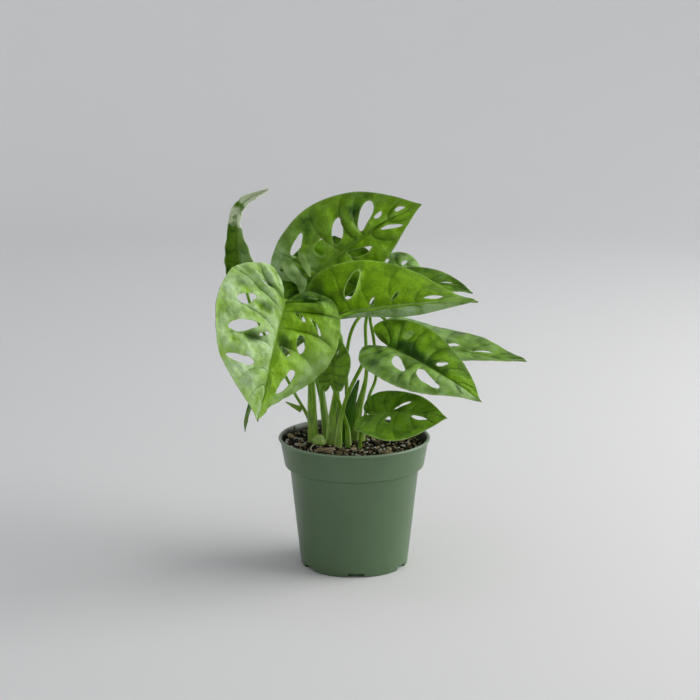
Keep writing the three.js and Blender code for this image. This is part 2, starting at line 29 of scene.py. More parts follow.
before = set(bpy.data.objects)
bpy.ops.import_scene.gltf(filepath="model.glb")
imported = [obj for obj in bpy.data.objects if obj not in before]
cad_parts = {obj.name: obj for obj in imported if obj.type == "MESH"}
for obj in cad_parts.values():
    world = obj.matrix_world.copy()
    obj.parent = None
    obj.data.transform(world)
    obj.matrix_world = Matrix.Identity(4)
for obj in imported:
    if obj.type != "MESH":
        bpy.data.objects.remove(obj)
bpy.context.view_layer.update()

MM = 0.001
SEED = 7

# The camera: where it stands, how far it looks down in degrees, and its lens and film width.
CAMERA_PLACE = (-3, -1300, 438)
CAMERA_PITCH = 12.42
CAMERA_LENS = 99.7
FILM_WIDTH = 36
CAMERA_REACH = 50

# The pot: its height, and the radii of its lip, collar, body and base. The collar's foot is a
# height. The notches let water out at the bottom edge, and the first lies at an angle.
POT = {
    "height": 90.7, "lip_radius": 52.5, "bead": 1.8,
    "collar_top": 51.3, "collar_bottom": 48.4, "collar_foot": 71, "body_top": 44.6,
    "base": 37.2, "wall": 1.3, "floor": 3.4, "chamfer": 0.8,
    "notches": 6, "notch_width": 12, "notch_height": 2.8, "notch_depth": 5, "first_notch": -88,
}

# The soil: its level, the depth at which stalks stand, how far it drops at the wall, and the bank
# of crumbs at the back left, with the distance from the middle at which it begins and its width.
SOIL_TOP = 84
SOIL_SOCKET = 76.35
SOIL_EDGE_DROP = 1.2
BANK_HEIGHT = 3.8
BANK_START = 34
BANK_WIDTH = 14

# One half of a leaf's outline, from the end of the lobe round to the tip: a share of the lobe's
# length (negative) or of the blade's length, and a share of the half's width.
OUTLINE = np.array([
    (-0.70, 0.10), (-1.00, 0.38), (-0.62, 0.76), (0.10, 0.98), (0.33, 1.00),
    (0.60, 0.77), (0.82, 0.37), (0.94, 0.11), (1.00, 0.00),
])

# The midrib meets the outline's lines from this place on, closer together towards the stalk.
RIB_START = 0.34
RIB_POWER = 1.35

# A blade's thickness, its side veins on each half, and how far they bow towards the midrib.
BLADE = 0.55
SIDE_VEINS = 8
VEIN_BOW = 0.13

# How a blade is worked at its lines: the width of the pale rim, and of a side vein, the depth of
# a side vein and of the crease at the midrib, and how far the underside stands out at a vein.
RIM_WIDTH = 0.6
VEIN_WIDTH = 0.6
VEIN_DEPTH = 0.22
CREASE_WIDTH = 1.6
CREASE_DEPTH = 1.0
VEIN_RIDGE = 0.25

# How far a hole's edge lifts or sinks the blade round it, and a distance that stands for "far".
LIP_WIDTH = 2.2
FAR_AWAY = 99.0

# The angle round a stalk at which the two wings of its sheath stand.
WING_ANGLE = 0.85

# Each leaf, as in the solids: where its stalk joins it, its heading, rise and roll in degrees (at
# the stalk, and the change along the midrib), length, left and right half widths and lobes, how far
# each half folds up (at the stalk and at the tip), and its holes: half, place along the outline,
# place from midrib to edge, half width, half length, lean. Some also have: lobe_rise, how far the
# lobes bend; turn, the part of the midrib that turns; curl, how far each half curls in; and
# stalk_side, the side that the stalk comes from. Only the lobes of top, which are 3 mm longer, and
# the first hole of centre, which is narrower and longer, differ from the solids.
# Then what only the fine blade has: puff, how high it puffs between its side veins; wave, how far
# its edge waves, and waves, how often; tone, from deep (0) to bright (1); painted_sheen, the pale
# sheen painted on its left and right half in place of reflected light; lips, the height of a hole's
# raised edge; slim, how much narrower it gets towards its tip; shaded_rib_crease, for a midrib whose
# crease is painted dark as shade; and patches: half, place along, place across, half width, half
# length, painted sheen (above 0) or painted shade (below 0), and height.
LEAVES = {
    "front_left": dict(
        base=(-47, -10, 187), heading=(-104, -2), rise=(-40, -16), roll=(-36, -12),
        length=92, width=(43, 50), lobe=(12, 23), fold=((16, -58), (15, -6)), lobe_rise=-20,
        holes=[(-1, 0.27, 0.42, 0.029, 0.12, 0.02), (-1, 0.46, 0.57, 0.026, 0.14, 0),
               (-1, 0.58, 0.58, 0.019, 0.24, 0), (-1, 0.62, 0.24, 0.008, 0.09, 0),
               (-1, 0.69, 0.73, 0.018, 0.17, -0.03), (1, 0.43, 0.26, 0.020, 0.09, 0.018),
               (1, 0.43, 0.54, 0.014, 0.10, 0.015), (1, 0.55, 0.43, 0.026, 0.12, 0.008),
               (1, 0.64, 0.28, 0.020, 0.09, 0), (1, 0.68, 0.70, 0.040, 0.13, 0.01)],
        puff=3.5, wave=1.0, tone=0.95, painted_sheen=(0.1, 1.0), shaded_rib_crease=True,
        patches=[(1, 0.60, 0.95, 0.20, 0.30, 0.55, 0), (1, 0.17, 0.55, 0.13, 0.45, -0.9, 0),
                 (-1, 0.22, 0.50, 0.025, 0.20, -0.7, -1.0), (-1, 0.46, 0.26, 0.035, 0.12, -0.7, -1.0),
                 (-1, 0.63, 0.42, 0.025, 0.18, -0.7, -1.0), (-1, 0.38, 0.70, 0.030, 0.18, -0.5, -0.8),
                 (-1, 0.53, 0.70, 0.025, 0.15, -0.5, -0.8), (1, 0.62, 0.20, 0.040, 0.15, -0.6, -0.8)]),
    "top": dict(
        base=(-28, 40, 195), heading=(8, 0), rise=(45, -23), roll=(68, 3),
        length=92, width=(39, 27), lobe=(28, 19), fold=((8, 7), (7, 5)), lobe_rise=-18,
        holes=[(1, 0.86, 0.65, 0.022, 0.15, -0.005), (1, 0.77, 0.52, 0.014, 0.11, 0),
               (1, 0.71, 0.54, 0.028, 0.30, -0.013), (1, 0.60, 0.38, 0.027, 0.22, 0.008),
               (1, 0.50, 0.29, 0.034, 0.12, 0.015), (1, 0.38, 0.60, 0.045, 0.13, 0.03),
               (-1, 0.78, 0.59, 0.018, 0.31, -0.015), (-1, 0.63, 0.36, 0.028, 0.24, 0.022)],
        puff=2.4, wave=0.8, tone=0.82, painted_sheen=(0.1, 0.05),
        patches=[(1, 0.18, 0.85, 0.17, 0.30, 1.0, 0), (1, 0.42, 0.25, 0.05, 0.15, 0.5, -0.8),
                 (1, 0.66, 0.75, 0.03, 0.20, -0.8, -0.8), (1, 0.47, 0.70, 0.03, 0.20, -0.8, -0.8)]),
    "top_back": dict(
        base=(-14, 60, 187), heading=(93, 0), rise=(67, -21), roll=(0, 0),
        length=38, width=(34, 32), lobe=(10, 10), fold=((12, 12), (12, 12)),
        holes=[], puff=0.9, wave=0.6, tone=0.5),
    "centre": dict(
        base=(-10, 0, 177), heading=(-3, 0), rise=(12, -12), roll=(63, -50),
        length=95, width=(38, 11), lobe=(19, 6), fold=((0, -7), (-88, -64)), lobe_rise=8,
        stalk_side="left",
        holes=[(1, 0.43, 0.44, 0.034, 0.25, 0.0), (1, 0.56, 0.14, 0.012, 0.07, 0),
               (1, 0.65, 0.29, 0.008, 0.12, 0), (1, 0.78, 0.53, 0.024, 0.20, 0)],
        puff=0.6, wave=0.8, tone=0.78, lips={0: 2.4},
        patches=[(1, 0.10, 0.60, 0.13, 0.60, -0.8, 0), (1, 0.93, 0.50, 0.08, 0.50, 0.35, 0),
                 (-1, 0.60, 0.60, 0.28, 0.90, 1.0, 0)]),
    "right_back": dict(
        base=(17, 38, 183), heading=(-2, 0), rise=(28, -53), roll=(49, 3),
        length=69, width=(13, 12), lobe=(12, 6), fold=((9, 12), (10, 10)),
        holes=[(1, 0.80, 0.50, 0.012, 0.25, 0)],
        puff=0.6, wave=0.5, tone=0.5, painted_sheen=(0.15, 0.1)),
    "back": dict(
        base=(23, 58, 191), heading=(12, 0), rise=(68, -131), roll=(36, -5),
        length=34, width=(13, 12), lobe=(8, 6), fold=((10, 7), (10, 10)),
        holes=[(1, 0.50, 0.66, 0.020, 0.15, 0), (1, 0.70, 0.35, 0.025, 0.25, 0)],
        puff=0.4, wave=0.4, tone=0.5, painted_sheen=(0.55, 0.55)),
    "right_long": dict(
        base=(36, 24, 159), heading=(-9, -2), rise=(-22, 22), roll=(9, -2),
        length=87, width=(32, 29), lobe=(16, 14), fold=((-4, 14), (-10, 19)),
        holes=[(1, 0.64, 0.24, 0.020, 0.17, 0.01), (1, 0.76, 0.45, 0.022, 0.20, 0.01)],
        puff=0.9, wave=0.8, tone=0.62, painted_sheen=(0.25, 0.12)),
    "right_front": dict(
        base=(23, -14, 157), heading=(-28, -3), rise=(-16, -13), roll=(28, -10),
        length=77, width=(26, 31), lobe=(17, 14), fold=((16, -8), (4, 1)),
        holes=[(-1, 0.50, 0.32, 0.050, 0.16, 0.02), (-1, 0.66, 0.52, 0.042, 0.28, 0.01),
               (1, 0.41, 0.53, 0.020, 0.16, -0.01), (1, 0.68, 0.43, 0.014, 0.18, -0.01)],
        puff=1.1, wave=0.8, tone=0.65, painted_sheen=(0.03, 0.3),
        patches=[(1, 0.45, 0.10, 0.25, 0.25, -0.9, 0), (-1, 0.90, 0.50, 0.12, 0.50, 0.6, 0),
                 (-1, 0.30, 0.50, 0.12, 0.50, -0.5, 0)]),
    "low_right": dict(
        base=(10, -22, 112), heading=(-17, 1), rise=(12, -21), roll=(24, 9),
        length=55, width=(20, 30), lobe=(5, 7), fold=((9, -1), (11, -16)),
        holes=[(1, 0.63, 0.43, 0.018, 0.25, 0.01), (-1, 0.78, 0.40, 0.035, 0.25, 0.01),
               (-1, 0.57, 0.28, 0.025, 0.12, 0)],
        puff=0.35, wave=0.5, tone=0.6, painted_sheen=(0.05, 0.08)),
    "small": dict(
        base=(-16, -9, 130), heading=(60, 1), rise=(78, -15), roll=(-11, 6),
        length=33, width=(12, 19), lobe=(6, 5), fold=((10, 10), (19, 6)),
        holes=[(-1, 0.80, 0.32, 0.030, 0.20, 0)],
        puff=0.4, wave=0.3, tone=0.7, painted_sheen=(0.12, 0.05)),
    "young": dict(
        base=(-79, 10, 205), heading=(-31, -11), rise=(94, -69), roll=(82, -1), turn=(0.4, 0.75),
        length=75, width=(12, 22), lobe=(8, 8), fold=((20, 20), (14, 43)), curl=(100, 0),
        holes=[], puff=0.5, wave=0.4, waves=13, slim=0.5, tone=0.5, painted_sheen=(0, 0.3)),
    "drooping": dict(
        base=(-36, 26, 154), heading=(189, 1), rise=(-34, -46), roll=(2, -3),
        length=80, width=(13, 13), lobe=(8, 8), fold=((15, 9), (12, 11)),
        holes=[(1, 0.6, 0.5, 0.02, 0.18, 0)], puff=0.5, wave=0.5, tone=0.2),
}

# Each stalk: its foot in the soil and the points it passes through, as in the solids, then its
# radius in the soil and at the leaf, and the share of its length that the wider sheath takes. In
# the soil, the radius is up to 1.1 mm more than that of the solids, which have no sheaths' wings.
STALKS = {
    "front_left": ((-29, 8), [(-29.5, 7, 105), (-30, 5, 130), (-34, 6, 160), (-42, 4, 182)],
                   (3.6, 1.5), 0.75),
    "top": ((-19, 18), [(-22, 25, 110), (-26, 38, 150), (-31, 46, 178)], (3.1, 1.4), 0.5),
    "top_back": ((-10, 26), [(-12, 34, 115), (-14, 46, 150), (-15, 55, 174)], (2.6, 1.2), 0.4),
    "centre": ((-16, 7), [(-15, 8, 104), (-11.5, 8, 134), (-9, 7, 156)], (5.4, 1.4), 0.5),
    "right_back": ((6, 10), [(10, 12, 115), (15, 17, 128), (14, 26, 150), (11, 34, 172)],
                   (1.9, 1.1), 0.3),
    "back": ((-2, 24), [(-5, 26, 115), (-5, 27, 145), (0, 36, 162), (13, 50, 174)], (2.6, 1.2), 0.4),
    "right_long": ((-1, 15), [(3, 11, 108), (8, 9, 131), (8, 11, 152), (8, 16, 168), (11, 19, 176),
                              (20, 22, 170)], (4.4, 1.2), 0.5),
    "right_front": ((-11, -8), [(-10, -7, 100), (-6, -7, 118), (4, -7, 140), (12, -8, 154)],
                    (2.9, 1.4), 0.4),
    "low_right": ((4, -7), [(4, -13, 95), (5, -20, 105)], (1.8, 1.2), 0.3),
    "small": ((-4, -1), [(-5, -1, 98), (-10, -3, 114)], (2.7, 1.3), 0.6),
    "young": ((-28, 18), [(-32, 14, 100), (-42, 9, 120), (-58, 7, 153), (-72, 8, 184)],
              (1.9, 1.1), 0.3),
    "drooping": ((-21, 30), [(-24, 32, 110), (-30, 30, 138)], (1.7, 1.1), 0.3),
}


# Meshes from arrays

def make_piece(name, points, faces, material, replaces=(), values=None, uv=None, sharp=50):
    """Points in millimetres and faces of one size become a smooth mesh object that rides on the
    root body. Values are numbers at the points, and uv gives each point a place on the surface."""
    mesh = bpy.data.meshes.new(name)
    count, corners = faces.shape
    mesh.vertices.add(len(points))
    mesh.vertices.foreach_set("co", (points * MM).astype(np.float32).ravel())
    mesh.loops.add(count * corners)
    mesh.loops.foreach_set("vertex_index", faces.astype(np.int32).ravel())
    mesh.polygons.add(count)
    mesh.polygons.foreach_set("loop_start", np.arange(0, count * corners, corners, dtype=np.int32))
    mesh.polygons.foreach_set("use_smooth", np.ones(count, bool))
    mesh.update(calc_edges=True)
    mesh.validate()
    for key, array in (values or {}).items():
        layer = mesh.attributes.new(key, "FLOAT", "POINT")
        layer.data.foreach_set("value", array.astype(np.float32))
    if uv is not None:
        layer = mesh.uv_layers.new(name="surface")
        layer.data.foreach_set("uv", uv[faces.ravel()].astype(np.float32).ravel())
    mesh.set_sharp_from_angle(angle=math.radians(sharp))
    mesh.materials.append(material)
    piece = bpy.data.objects.new(name, mesh)
    bpy.context.scene.collection.objects.link(piece)
    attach(piece, "root")
    if replaces:
        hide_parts(*replaces)
    return piece


def grid_triangles(rows, columns, wrap=False):
    """The triangles of a grid of points: each cell is cut in two. With wrap, the last column
    joins the first."""
    i = np.arange(rows - 1)[:, None]
    j = np.arange(columns if wrap else columns - 1)[None, :]
    k = (j + 1) % columns
    a, b = i * columns + j, i * columns + k
    c, d = a + columns, b + columns
    cells = np.stack([np.stack([a, b, d], -1), np.stack([a, d, c], -1)], -2)
    return cells.reshape(-1, 3)


def closed_by_middles(rings, first, last):
    """The points and triangles of a stack of rings that closes on a point at each end. Where the
    rings run to the left, as seen from above, and climb, the triangles face outward."""
    count, sides = rings.shape[:2]
    points = np.vstack([rings.reshape(-1, 3), [first], [last]])
    j = np.arange(sides)
    k = (j + 1) % sides
    end = (count - 1) * sides
    first_fan = np.stack([np.full(sides, count * sides), k, j], -1)
    last_fan = np.stack([np.full(sides, count * sides + 1), end + j, end + k], -1)
    return points, np.vstack([grid_triangles(count, sides, wrap=True), first_fan, last_fan])


def blend(t):
    """The curve 3t² - 2t³, from 0 to 1 with level ends."""
    t = np.clip(t, 0, 1)
    return t * t * (3 - 2 * t)


def lumps(x, y, size, table):
    """Smooth random heights from -1 to 1: the table's values on a lattice of the given size,
    blended between neighbours."""
    i, j = np.floor(x / size).astype(int), np.floor(y / size).astype(int)
    s, t = blend(x / size - i), blend(y / size - j)
    n = len(table)
    low = table[i % n, j % n] * (1 - s) + table[(i + 1) % n, j % n] * s
    high = table[i % n, (j + 1) % n] * (1 - s) + table[(i + 1) % n, (j + 1) % n] * s
    return low * (1 - t) + high * t


def cubic(b, c, enter, leave, t):
    """The cubic from b to c that leaves b with one slope and reaches c with the other."""
    third = 2 * b - 2 * c + enter + leave
    second = 3 * c - 3 * b - 2 * enter - leave
    return third * t**3 + second * t**2 + enter * t + b


def outline_curve(points, along):
    """A curve through the points: the slope at each is half the step between its neighbours."""
    place = np.clip(along, 0, 1) * (len(points) - 1)
    i = np.minimum(place.astype(int), len(points) - 2)
    a, b, c, d = (points[np.clip(i + k, 0, len(points) - 1)] for k in (-1, 0, 1, 2))
    return cubic(b, c, (c - a) / 2, (d - b) / 2, (place - i)[..., None])


def smooth_path(points, count, fine=40):
    """Evenly spaced places on the curve through the points whose knots lie apart by the square
    root of the distance, so that it makes no loops at close points."""
    points = np.array(points, float)
    ends = np.vstack([2 * points[0] - points[1], points, 2 * points[-1] - points[-2]])
    knots = np.sqrt(np.linalg.norm(np.diff(ends, axis=0), axis=1))[:, None]
    step = np.diff(ends, axis=0)
    before, here, after = knots[:-2], knots[1:-1], knots[2:]
    two_back = step[:-2] / before - (step[:-2] + step[1:-1]) / (before + here) + step[1:-1] / here
    two_on = step[1:-1] / here - (step[1:-1] + step[2:]) / (here + after) + step[2:] / after
    t = np.linspace(0, 1, fine, endpoint=False)[None, :, None]
    b, c = ends[1:-2, None], ends[2:-1, None]
    dense = cubic(b, c, (two_back * here)[:, None], (two_on * here)[:, None], t).reshape(-1, 3)
    dense = np.vstack([dense, points[-1:]])
    travelled = np.r_[0, np.cumsum(np.linalg.norm(np.diff(dense, axis=0), axis=1))]
    places = np.linspace(0, travelled[-1], count)
    return np.stack([np.interp(places, travelled, dense[:, k]) for k in range(3)], -1)


def unit(vectors):
    """The same directions with length one."""
    return vectors / np.maximum(np.linalg.norm(vectors, axis=-1, keepdims=True), 1e-9)


def carried(path, guide, radius, sides):
    """A closed profile carried along a path. At a share of the path and an angle round it, the
    point lies at the path's point plus radius × (cos angle × front + sin angle × side), where
    front is the guide's part at right angles to the path. Both ends close on a middle point."""
    ahead = unit(np.gradient(path, axis=0))
    front = unit(guide - (ahead @ guide)[:, None] * ahead)
    side = np.cross(ahead, front)
    angle = np.linspace(0, 2 * np.pi, sides, endpoint=False)
    along = np.linspace(0, 1, len(path))
    size = radius(along[:, None], angle[None, :])[..., None]
    turn = angle[None, :, None]
    ring = path[:, None] + size * (np.cos(turn) * front[:, None] + np.sin(turn) * side[:, None])
    points, faces = closed_by_middles(ring, path[0], path[-1])
    travelled = np.r_[0, np.cumsum(np.linalg.norm(np.diff(path, axis=0), axis=1))] * MM
    uv = np.broadcast_arrays(angle[None, :] / (2 * np.pi), travelled[:, None])
    uv = np.vstack([np.stack(uv, -1).reshape(-1, 2), [[0, travelled[0]], [0, travelled[-1]]]])
    share = np.r_[np.repeat(along, sides), 0, 1]
    return points, faces, uv, share


# Materials

def node(tree, kind, inputs=None, **settings):
    """Adds a node with its settings. An input is a value, or another node's output to link."""
    made = tree.nodes.new(kind)
    for key, value in settings.items():
        setattr(made, key, value)
    for key, value in (inputs or {}).items():
        if isinstance(value, bpy.types.NodeSocket):
            tree.links.new(value, made.inputs[key])
        else:
            made.inputs[key].default_value = value
    return made


def linear(code):
    """An sRGB hex colour such as 3F7A12 as linear red, green, blue and alpha."""
    parts = [int(code[i:i + 2], 16) / 255 for i in (0, 2, 4)]
    return (*[p / 12.92 if p <= 0.04045 else ((p + 0.055) / 1.055) ** 2.4 for p in parts], 1)


def new_material(name):
    """A material with its node tree and its Principled shader, already wired to the output."""
    material = bpy.data.materials.new(name)
    material.use_nodes = True
    tree = material.node_tree
    return material, tree, tree.nodes["Principled BSDF"]


def mixed(tree, factor, low, high):
    """The colour between low and high, by a factor from 0 to 1. The node numbers its colour
    inputs 6 and 7, and its colour output 2."""
    mix = node(tree, "ShaderNodeMix", {0: factor, 6: low, 7: high}, data_type="RGBA")
    return mix.outputs[2]


def ranged(tree, value, low, high, new_low=0.0, new_high=1.0):
    """A value moved from one range to another, held at its ends."""
    ends = {"From Min": low, "From Max": high, "To Min": new_low, "To Max": new_high}
    return node(tree, "ShaderNodeMapRange", {"Value": value, **ends}).outputs[0]


def worked(tree, operation, *values):
    """A sum, product or other piece of arithmetic on values."""
    return node(tree, "ShaderNodeMath", dict(enumerate(values)), operation=operation).outputs[0]


def scale_for(size):
    """The texture scale that makes a pattern as large as the given millimetres."""
    return 1 / (size * MM)


def attribute(tree, name):
    """A number that a piece holds at its points."""
    return node(tree, "ShaderNodeAttribute", attribute_name=name).outputs["Fac"]


def noise(tree, place, size, detail):
    """A cloudy pattern of the given size in millimetres, about 0.5 on average."""
    inputs = {"Vector": place, "Scale": scale_for(size), "Detail": detail}
    return node(tree, "ShaderNodeTexNoise", inputs).outputs[0]


def embossed(tree, shader, height, strength, distance):
    """Gives the shader a relief from a pattern, with its greatest height in millimetres."""
    inputs = {"Height": height, "Strength": strength, "Distance": distance * MM}
    tree.links.new(node(tree, "ShaderNodeBump", inputs).outputs[0], shader.inputs["Normal"])


def glossed(shader, values):
    """Sets the shader's own sockets."""
    for key, value in values.items():
        shader.inputs[key].default_value = value


def leaf_material(name, deep, lush, bright, under, cream="DFE6CC"):
    """Living leaf blade with a waxy cuticle: deep green tissue along the veins, lighter and yellower
    where it puffs up between them, which is painted light and shade from the relief; a thin pale
    midrib and rim, a duller paler underside, and a satin gloss. A pale painted sheen, standing for
    reflected light, lies on parts of the blade, broken up by the fine net of veins; patches of painted
    shade darken it elsewhere, and a creased midrib is painted dark as shade. Cream patches have ragged
    edges, as in tissue that lacks its green."""
    material, tree, shader = new_material(name)
    place = node(tree, "ShaderNodeTexCoord").outputs["Object"]
    patches = noise(tree, place, 10.5, 4)
    specks = noise(tree, place, 1.2, 3)

    # Painted light and shade from the relief: lighter where the blade puffs up between side veins,
    # deeper green in the valleys along them.
    puffed = worked(tree, "MULTIPLY", attribute(tree, "puffed"), 0.75)
    light = worked(tree, "ADD", puffed, ranged(tree, patches, 0.36, 0.66, -0.52, 0.52))
    tissue = mixed(tree, ranged(tree, light, 0.0, 1.0), linear(deep), linear(lush))
    tone = attribute(tree, "tone")
    even = worked(tree, "MULTIPLY", tone, tone)
    rest = worked(tree, "SUBTRACT", 1.0, even)
    uneven = worked(tree, "MULTIPLY", rest, ranged(tree, light, 0.1, 0.8))
    toned = worked(tree, "MULTIPLY", tone, worked(tree, "ADD", uneven, even))
    tissue = mixed(tree, toned, tissue, linear(bright))

    # Dark side-vein lines; where a leaf's midrib is creased, its crease is also painted dark as shade.
    lined = worked(tree, "MULTIPLY", attribute(tree, "vein"), 0.5)
    tissue = mixed(tree, lined, tissue, linear(deep))
    tissue = mixed(tree, ranged(tree, specks, 0.48, 0.68, 0.0, 0.4), tissue, linear(deep))
    # Painted sheen: pale green laid on the tissue where reflected light would be, broken up by the fine
    # net of veins.
    netted = ranged(tree, specks, 0.35, 0.6, 0.62, 1.0)
    sheen_mask = worked(tree, "MULTIPLY", attribute(tree, "painted_sheen"), netted)
    sheen_mask = worked(tree, "MULTIPLY", sheen_mask, ranged(tree, patches, 0.38, 0.62, 0.4, 1.12))
    tissue = mixed(tree, sheen_mask, tissue, linear("B8D2A4"))
    layers = (("rib", 0.5, "90A968"), ("rim", 0.4, "A9C47C"), ("under", 0.7, under))
    for part, strength, colour in layers:
        covered = worked(tree, "MULTIPLY", attribute(tree, part), strength)
        tissue = mixed(tree, covered, tissue, linear(colour))
    torn = ranged(tree, patches, 0.4, 0.6, 0.45, 1.3)
    ragged = worked(tree, "MULTIPLY", attribute(tree, "cream"), torn)
    tissue = mixed(tree, ranged(tree, ragged, 0.35, 0.6), tissue, linear(cream))
    tree.links.new(tissue, shader.inputs["Base Color"])

    satin = ranged(tree, patches, 0.3, 0.7, 0.3, 0.4)
    dull = worked(tree, "MULTIPLY_ADD", attribute(tree, "under"), 0.16, satin)
    tree.links.new(dull, shader.inputs["Roughness"])
    net = {"Vector": place, "Scale": scale_for(1.8)}
    cells = node(tree, "ShaderNodeTexVoronoi", net, feature="DISTANCE_TO_EDGE").outputs[0]
    embossed(tree, shader, worked(tree, "MULTIPLY_ADD", cells, 0.5, specks), 0.5, 0.5)
    glossed(shader, {
        "IOR": 1.45, "Specular IOR Level": 0.3, "Specular Tint": (0.76, 1, 0.4, 1),
        "Subsurface Weight": 0.2, "Subsurface Radius": (0.7, 1.0, 0.25),
        "Subsurface Scale": 0.8 * MM,
    })
    return material


# Streaks on a stalk: about twenty lie side by side round it, and each is some 10 mm long.
STREAK_STRETCH = (9, 45, 1)
STREAK_SCALE = 2.2


def stalk_material(name, green, pale, dark):
    """Smooth waxy leaf stalk: fine lengthwise streaks, paler towards the soil, with a soft gloss."""
    material, tree, shader = new_material(name)
    surface = node(tree, "ShaderNodeTexCoord").outputs["UV"]
    stretched = node(tree, "ShaderNodeMapping", {"Vector": surface, "Scale": STREAK_STRETCH}).outputs[0]
    streak_inputs = {"Vector": stretched, "Scale": STREAK_SCALE, "Detail": 3}
    streaks = node(tree, "ShaderNodeTexNoise", streak_inputs).outputs[0]
    place = node(tree, "ShaderNodeTexCoord").outputs["Object"]
    patches = noise(tree, place, 6, 2)
    tissue = mixed(tree, ranged(tree, streaks, 0.35, 0.65), linear(dark), linear(green))
    cloudy = ranged(tree, patches, 0.3, 0.7, 0.4, 1.0)
    paler = worked(tree, "MULTIPLY", attribute(tree, "pale"), cloudy)
    tissue = mixed(tree, paler, tissue, linear(pale))
    tree.links.new(tissue, shader.inputs["Base Color"])
    tree.links.new(ranged(tree, patches, 0.3, 0.7, 0.3, 0.42), shader.inputs["Roughness"])
    embossed(tree, shader, streaks, 0.35, 0.4)
    glossed(shader, {
        "IOR": 1.45, "Specular IOR Level": 0.4, "Specular Tint": (0.9, 1, 0.6, 1),
        "Subsurface Weight": 0.2, "Subsurface Radius": (0.8, 1.0, 0.4), "Subsurface Scale": MM,
    })
    return material


def pot_material():
    """Moulded polypropylene: an even grey green with the faint cloudiness of recycled plastic, a
    very fine matt grain from the mould, a soft broad sheen and a paler painted highlight along
    the lip. Peat dust clings to its inside."""
    material, tree, shader = new_material("moulded_polypropylene_green")
    place = node(tree, "ShaderNodeTexCoord").outputs["Object"]
    clouds = noise(tree, place, 36, 4)
    grain = noise(tree, place, 0.4, 2)
    scuffs = noise(tree, place, 2.5, 5)
    colour = mixed(tree, ranged(tree, clouds, 0.3, 0.7), linear("4E6A45"), linear("55724E"))
    colour = mixed(tree, ranged(tree, scuffs, 0.68, 0.8, 0.0, 0.35), colour, linear("7C9A78"))
    # Painted highlight: the outer edge under the lip's top is mixed towards a paler green.
    highlit_lip = worked(tree, "MULTIPLY", attribute(tree, "lip_highlight"), 0.5)
    colour = mixed(tree, highlit_lip, colour, linear("8FA98B"))
    patchy = ranged(tree, scuffs, 0.3, 0.6, 0.55, 0.9)
    dust = worked(tree, "MULTIPLY", attribute(tree, "dusty"), patchy)
    colour = mixed(tree, dust, colour, linear("241F14"))
    tree.links.new(colour, shader.inputs["Base Color"])
    tree.links.new(ranged(tree, clouds, 0.3, 0.7, 0.36, 0.42), shader.inputs["Roughness"])
    embossed(tree, shader, grain, 0.1, 0.1)
    glossed(shader, {"IOR": 1.6})
    return material


def crumb_material(name, dark, light, size, rough=0.95, grain=0.5):
    """Crumbly matter such as peat, bark or perlite: each crumb has its own shade, and its face is
    pitted at the given size in millimetres."""
    material, tree, shader = new_material(name)
    place = node(tree, "ShaderNodeTexCoord").outputs["Object"]
    pits = noise(tree, place, size, 5)
    uneven = ranged(tree, pits, 0.35, 0.7, -0.1, 0.4)
    shade = worked(tree, "MULTIPLY_ADD", attribute(tree, "shade"), 0.7, uneven)
    colour = mixed(tree, ranged(tree, shade, 0.0, 1.0), linear(dark), linear(light))
    tree.links.new(colour, shader.inputs["Base Color"])
    embossed(tree, shader, pits, grain, 0.6)
    glossed(shader, {"Roughness": rough, "IOR": 1.4})
    return material


# The leaf surface

def flat_blade(leaf, u, w):
    """The flat leaf: u runs along the outline from the lobe's end (0) to the tip (1), and w from
    the right edge (-1) over the midrib (0) to the left edge (1). A point lies on the side vein
    from the midrib's foot to the edge, a curve of the second degree that bends to the tip."""
    across = np.abs(w)
    x, y = [], []
    for half in (0, 1):
        lengths = np.where(OUTLINE[:, 0] < 0, leaf["lobe"][half], leaf["length"])
        widths = np.full(len(OUTLINE), leaf["width"][half])
        control = OUTLINE * np.stack([lengths, widths], -1)
        end = outline_curve(control, u)
        foot = leaf["length"] * np.clip((u - RIB_START) / (1 - RIB_START), 0, 1) ** RIB_POWER
        bend = foot + 0.2 * (end[..., 0] - foot)
        middle = 2 * across * (1 - across)
        x.append((1 - across) ** 2 * foot + middle * bend + across**2 * end[..., 0])
        y.append((0.55 * middle + across**2) * end[..., 1])
    x, y = np.where(w >= 0, x[0], x[1]), np.where(w >= 0, y[0], -y[1])
    return x, y * (1 - leaf.get("slim", 0) * blend(x / leaf["length"] / 0.45))


def midrib_of(leaf, steps=90):
    """The midrib in space: its direction turns evenly along the blade, and its points are the sum
    of its steps. The result gives point, ahead, left and face at a distance along the midrib."""
    back = max(leaf["lobe"])
    length = leaf["length"]
    s = np.linspace(-back, length, steps + 1)
    turn_from, turn_to = leaf.get("turn", (0, 1))
    share = np.clip((np.clip(s / length, 0, 1) - turn_from) / (turn_to - turn_from), 0, 1)
    behind = np.clip(-s / back, 0, 1)
    lobes_rise = leaf.get("lobe_rise", 0) * behind
    rise = np.radians(leaf["rise"][0] + leaf["rise"][1] * share + lobes_rise)
    heading = np.radians(leaf["heading"][0] + leaf["heading"][1] * s / length)
    roll = np.radians(leaf["roll"][0] + leaf["roll"][1] * share)[:, None]
    ahead = np.stack([np.cos(rise) * np.cos(heading), np.cos(rise) * np.sin(heading), np.sin(rise)], -1)
    level = np.stack([-np.sin(heading), np.cos(heading), 0 * heading], -1)
    upright = np.cross(ahead, level)
    left = level * np.cos(roll) + upright * np.sin(roll)
    face = upright * np.cos(roll) - level * np.sin(roll)
    steps_on = (ahead[1:] + ahead[:-1]) / 2 * np.diff(s)[:, None]
    point = np.vstack([np.zeros(3), np.cumsum(steps_on, axis=0)])
    foot = [np.interp(0, s, point[:, k]) for k in range(3)]
    point = point + np.array(leaf["base"]) - foot

    def at(places):
        return [np.stack([np.interp(places, s, array[:, k]) for k in range(3)], -1)
                for array in (point, ahead, left, face)]
    return at


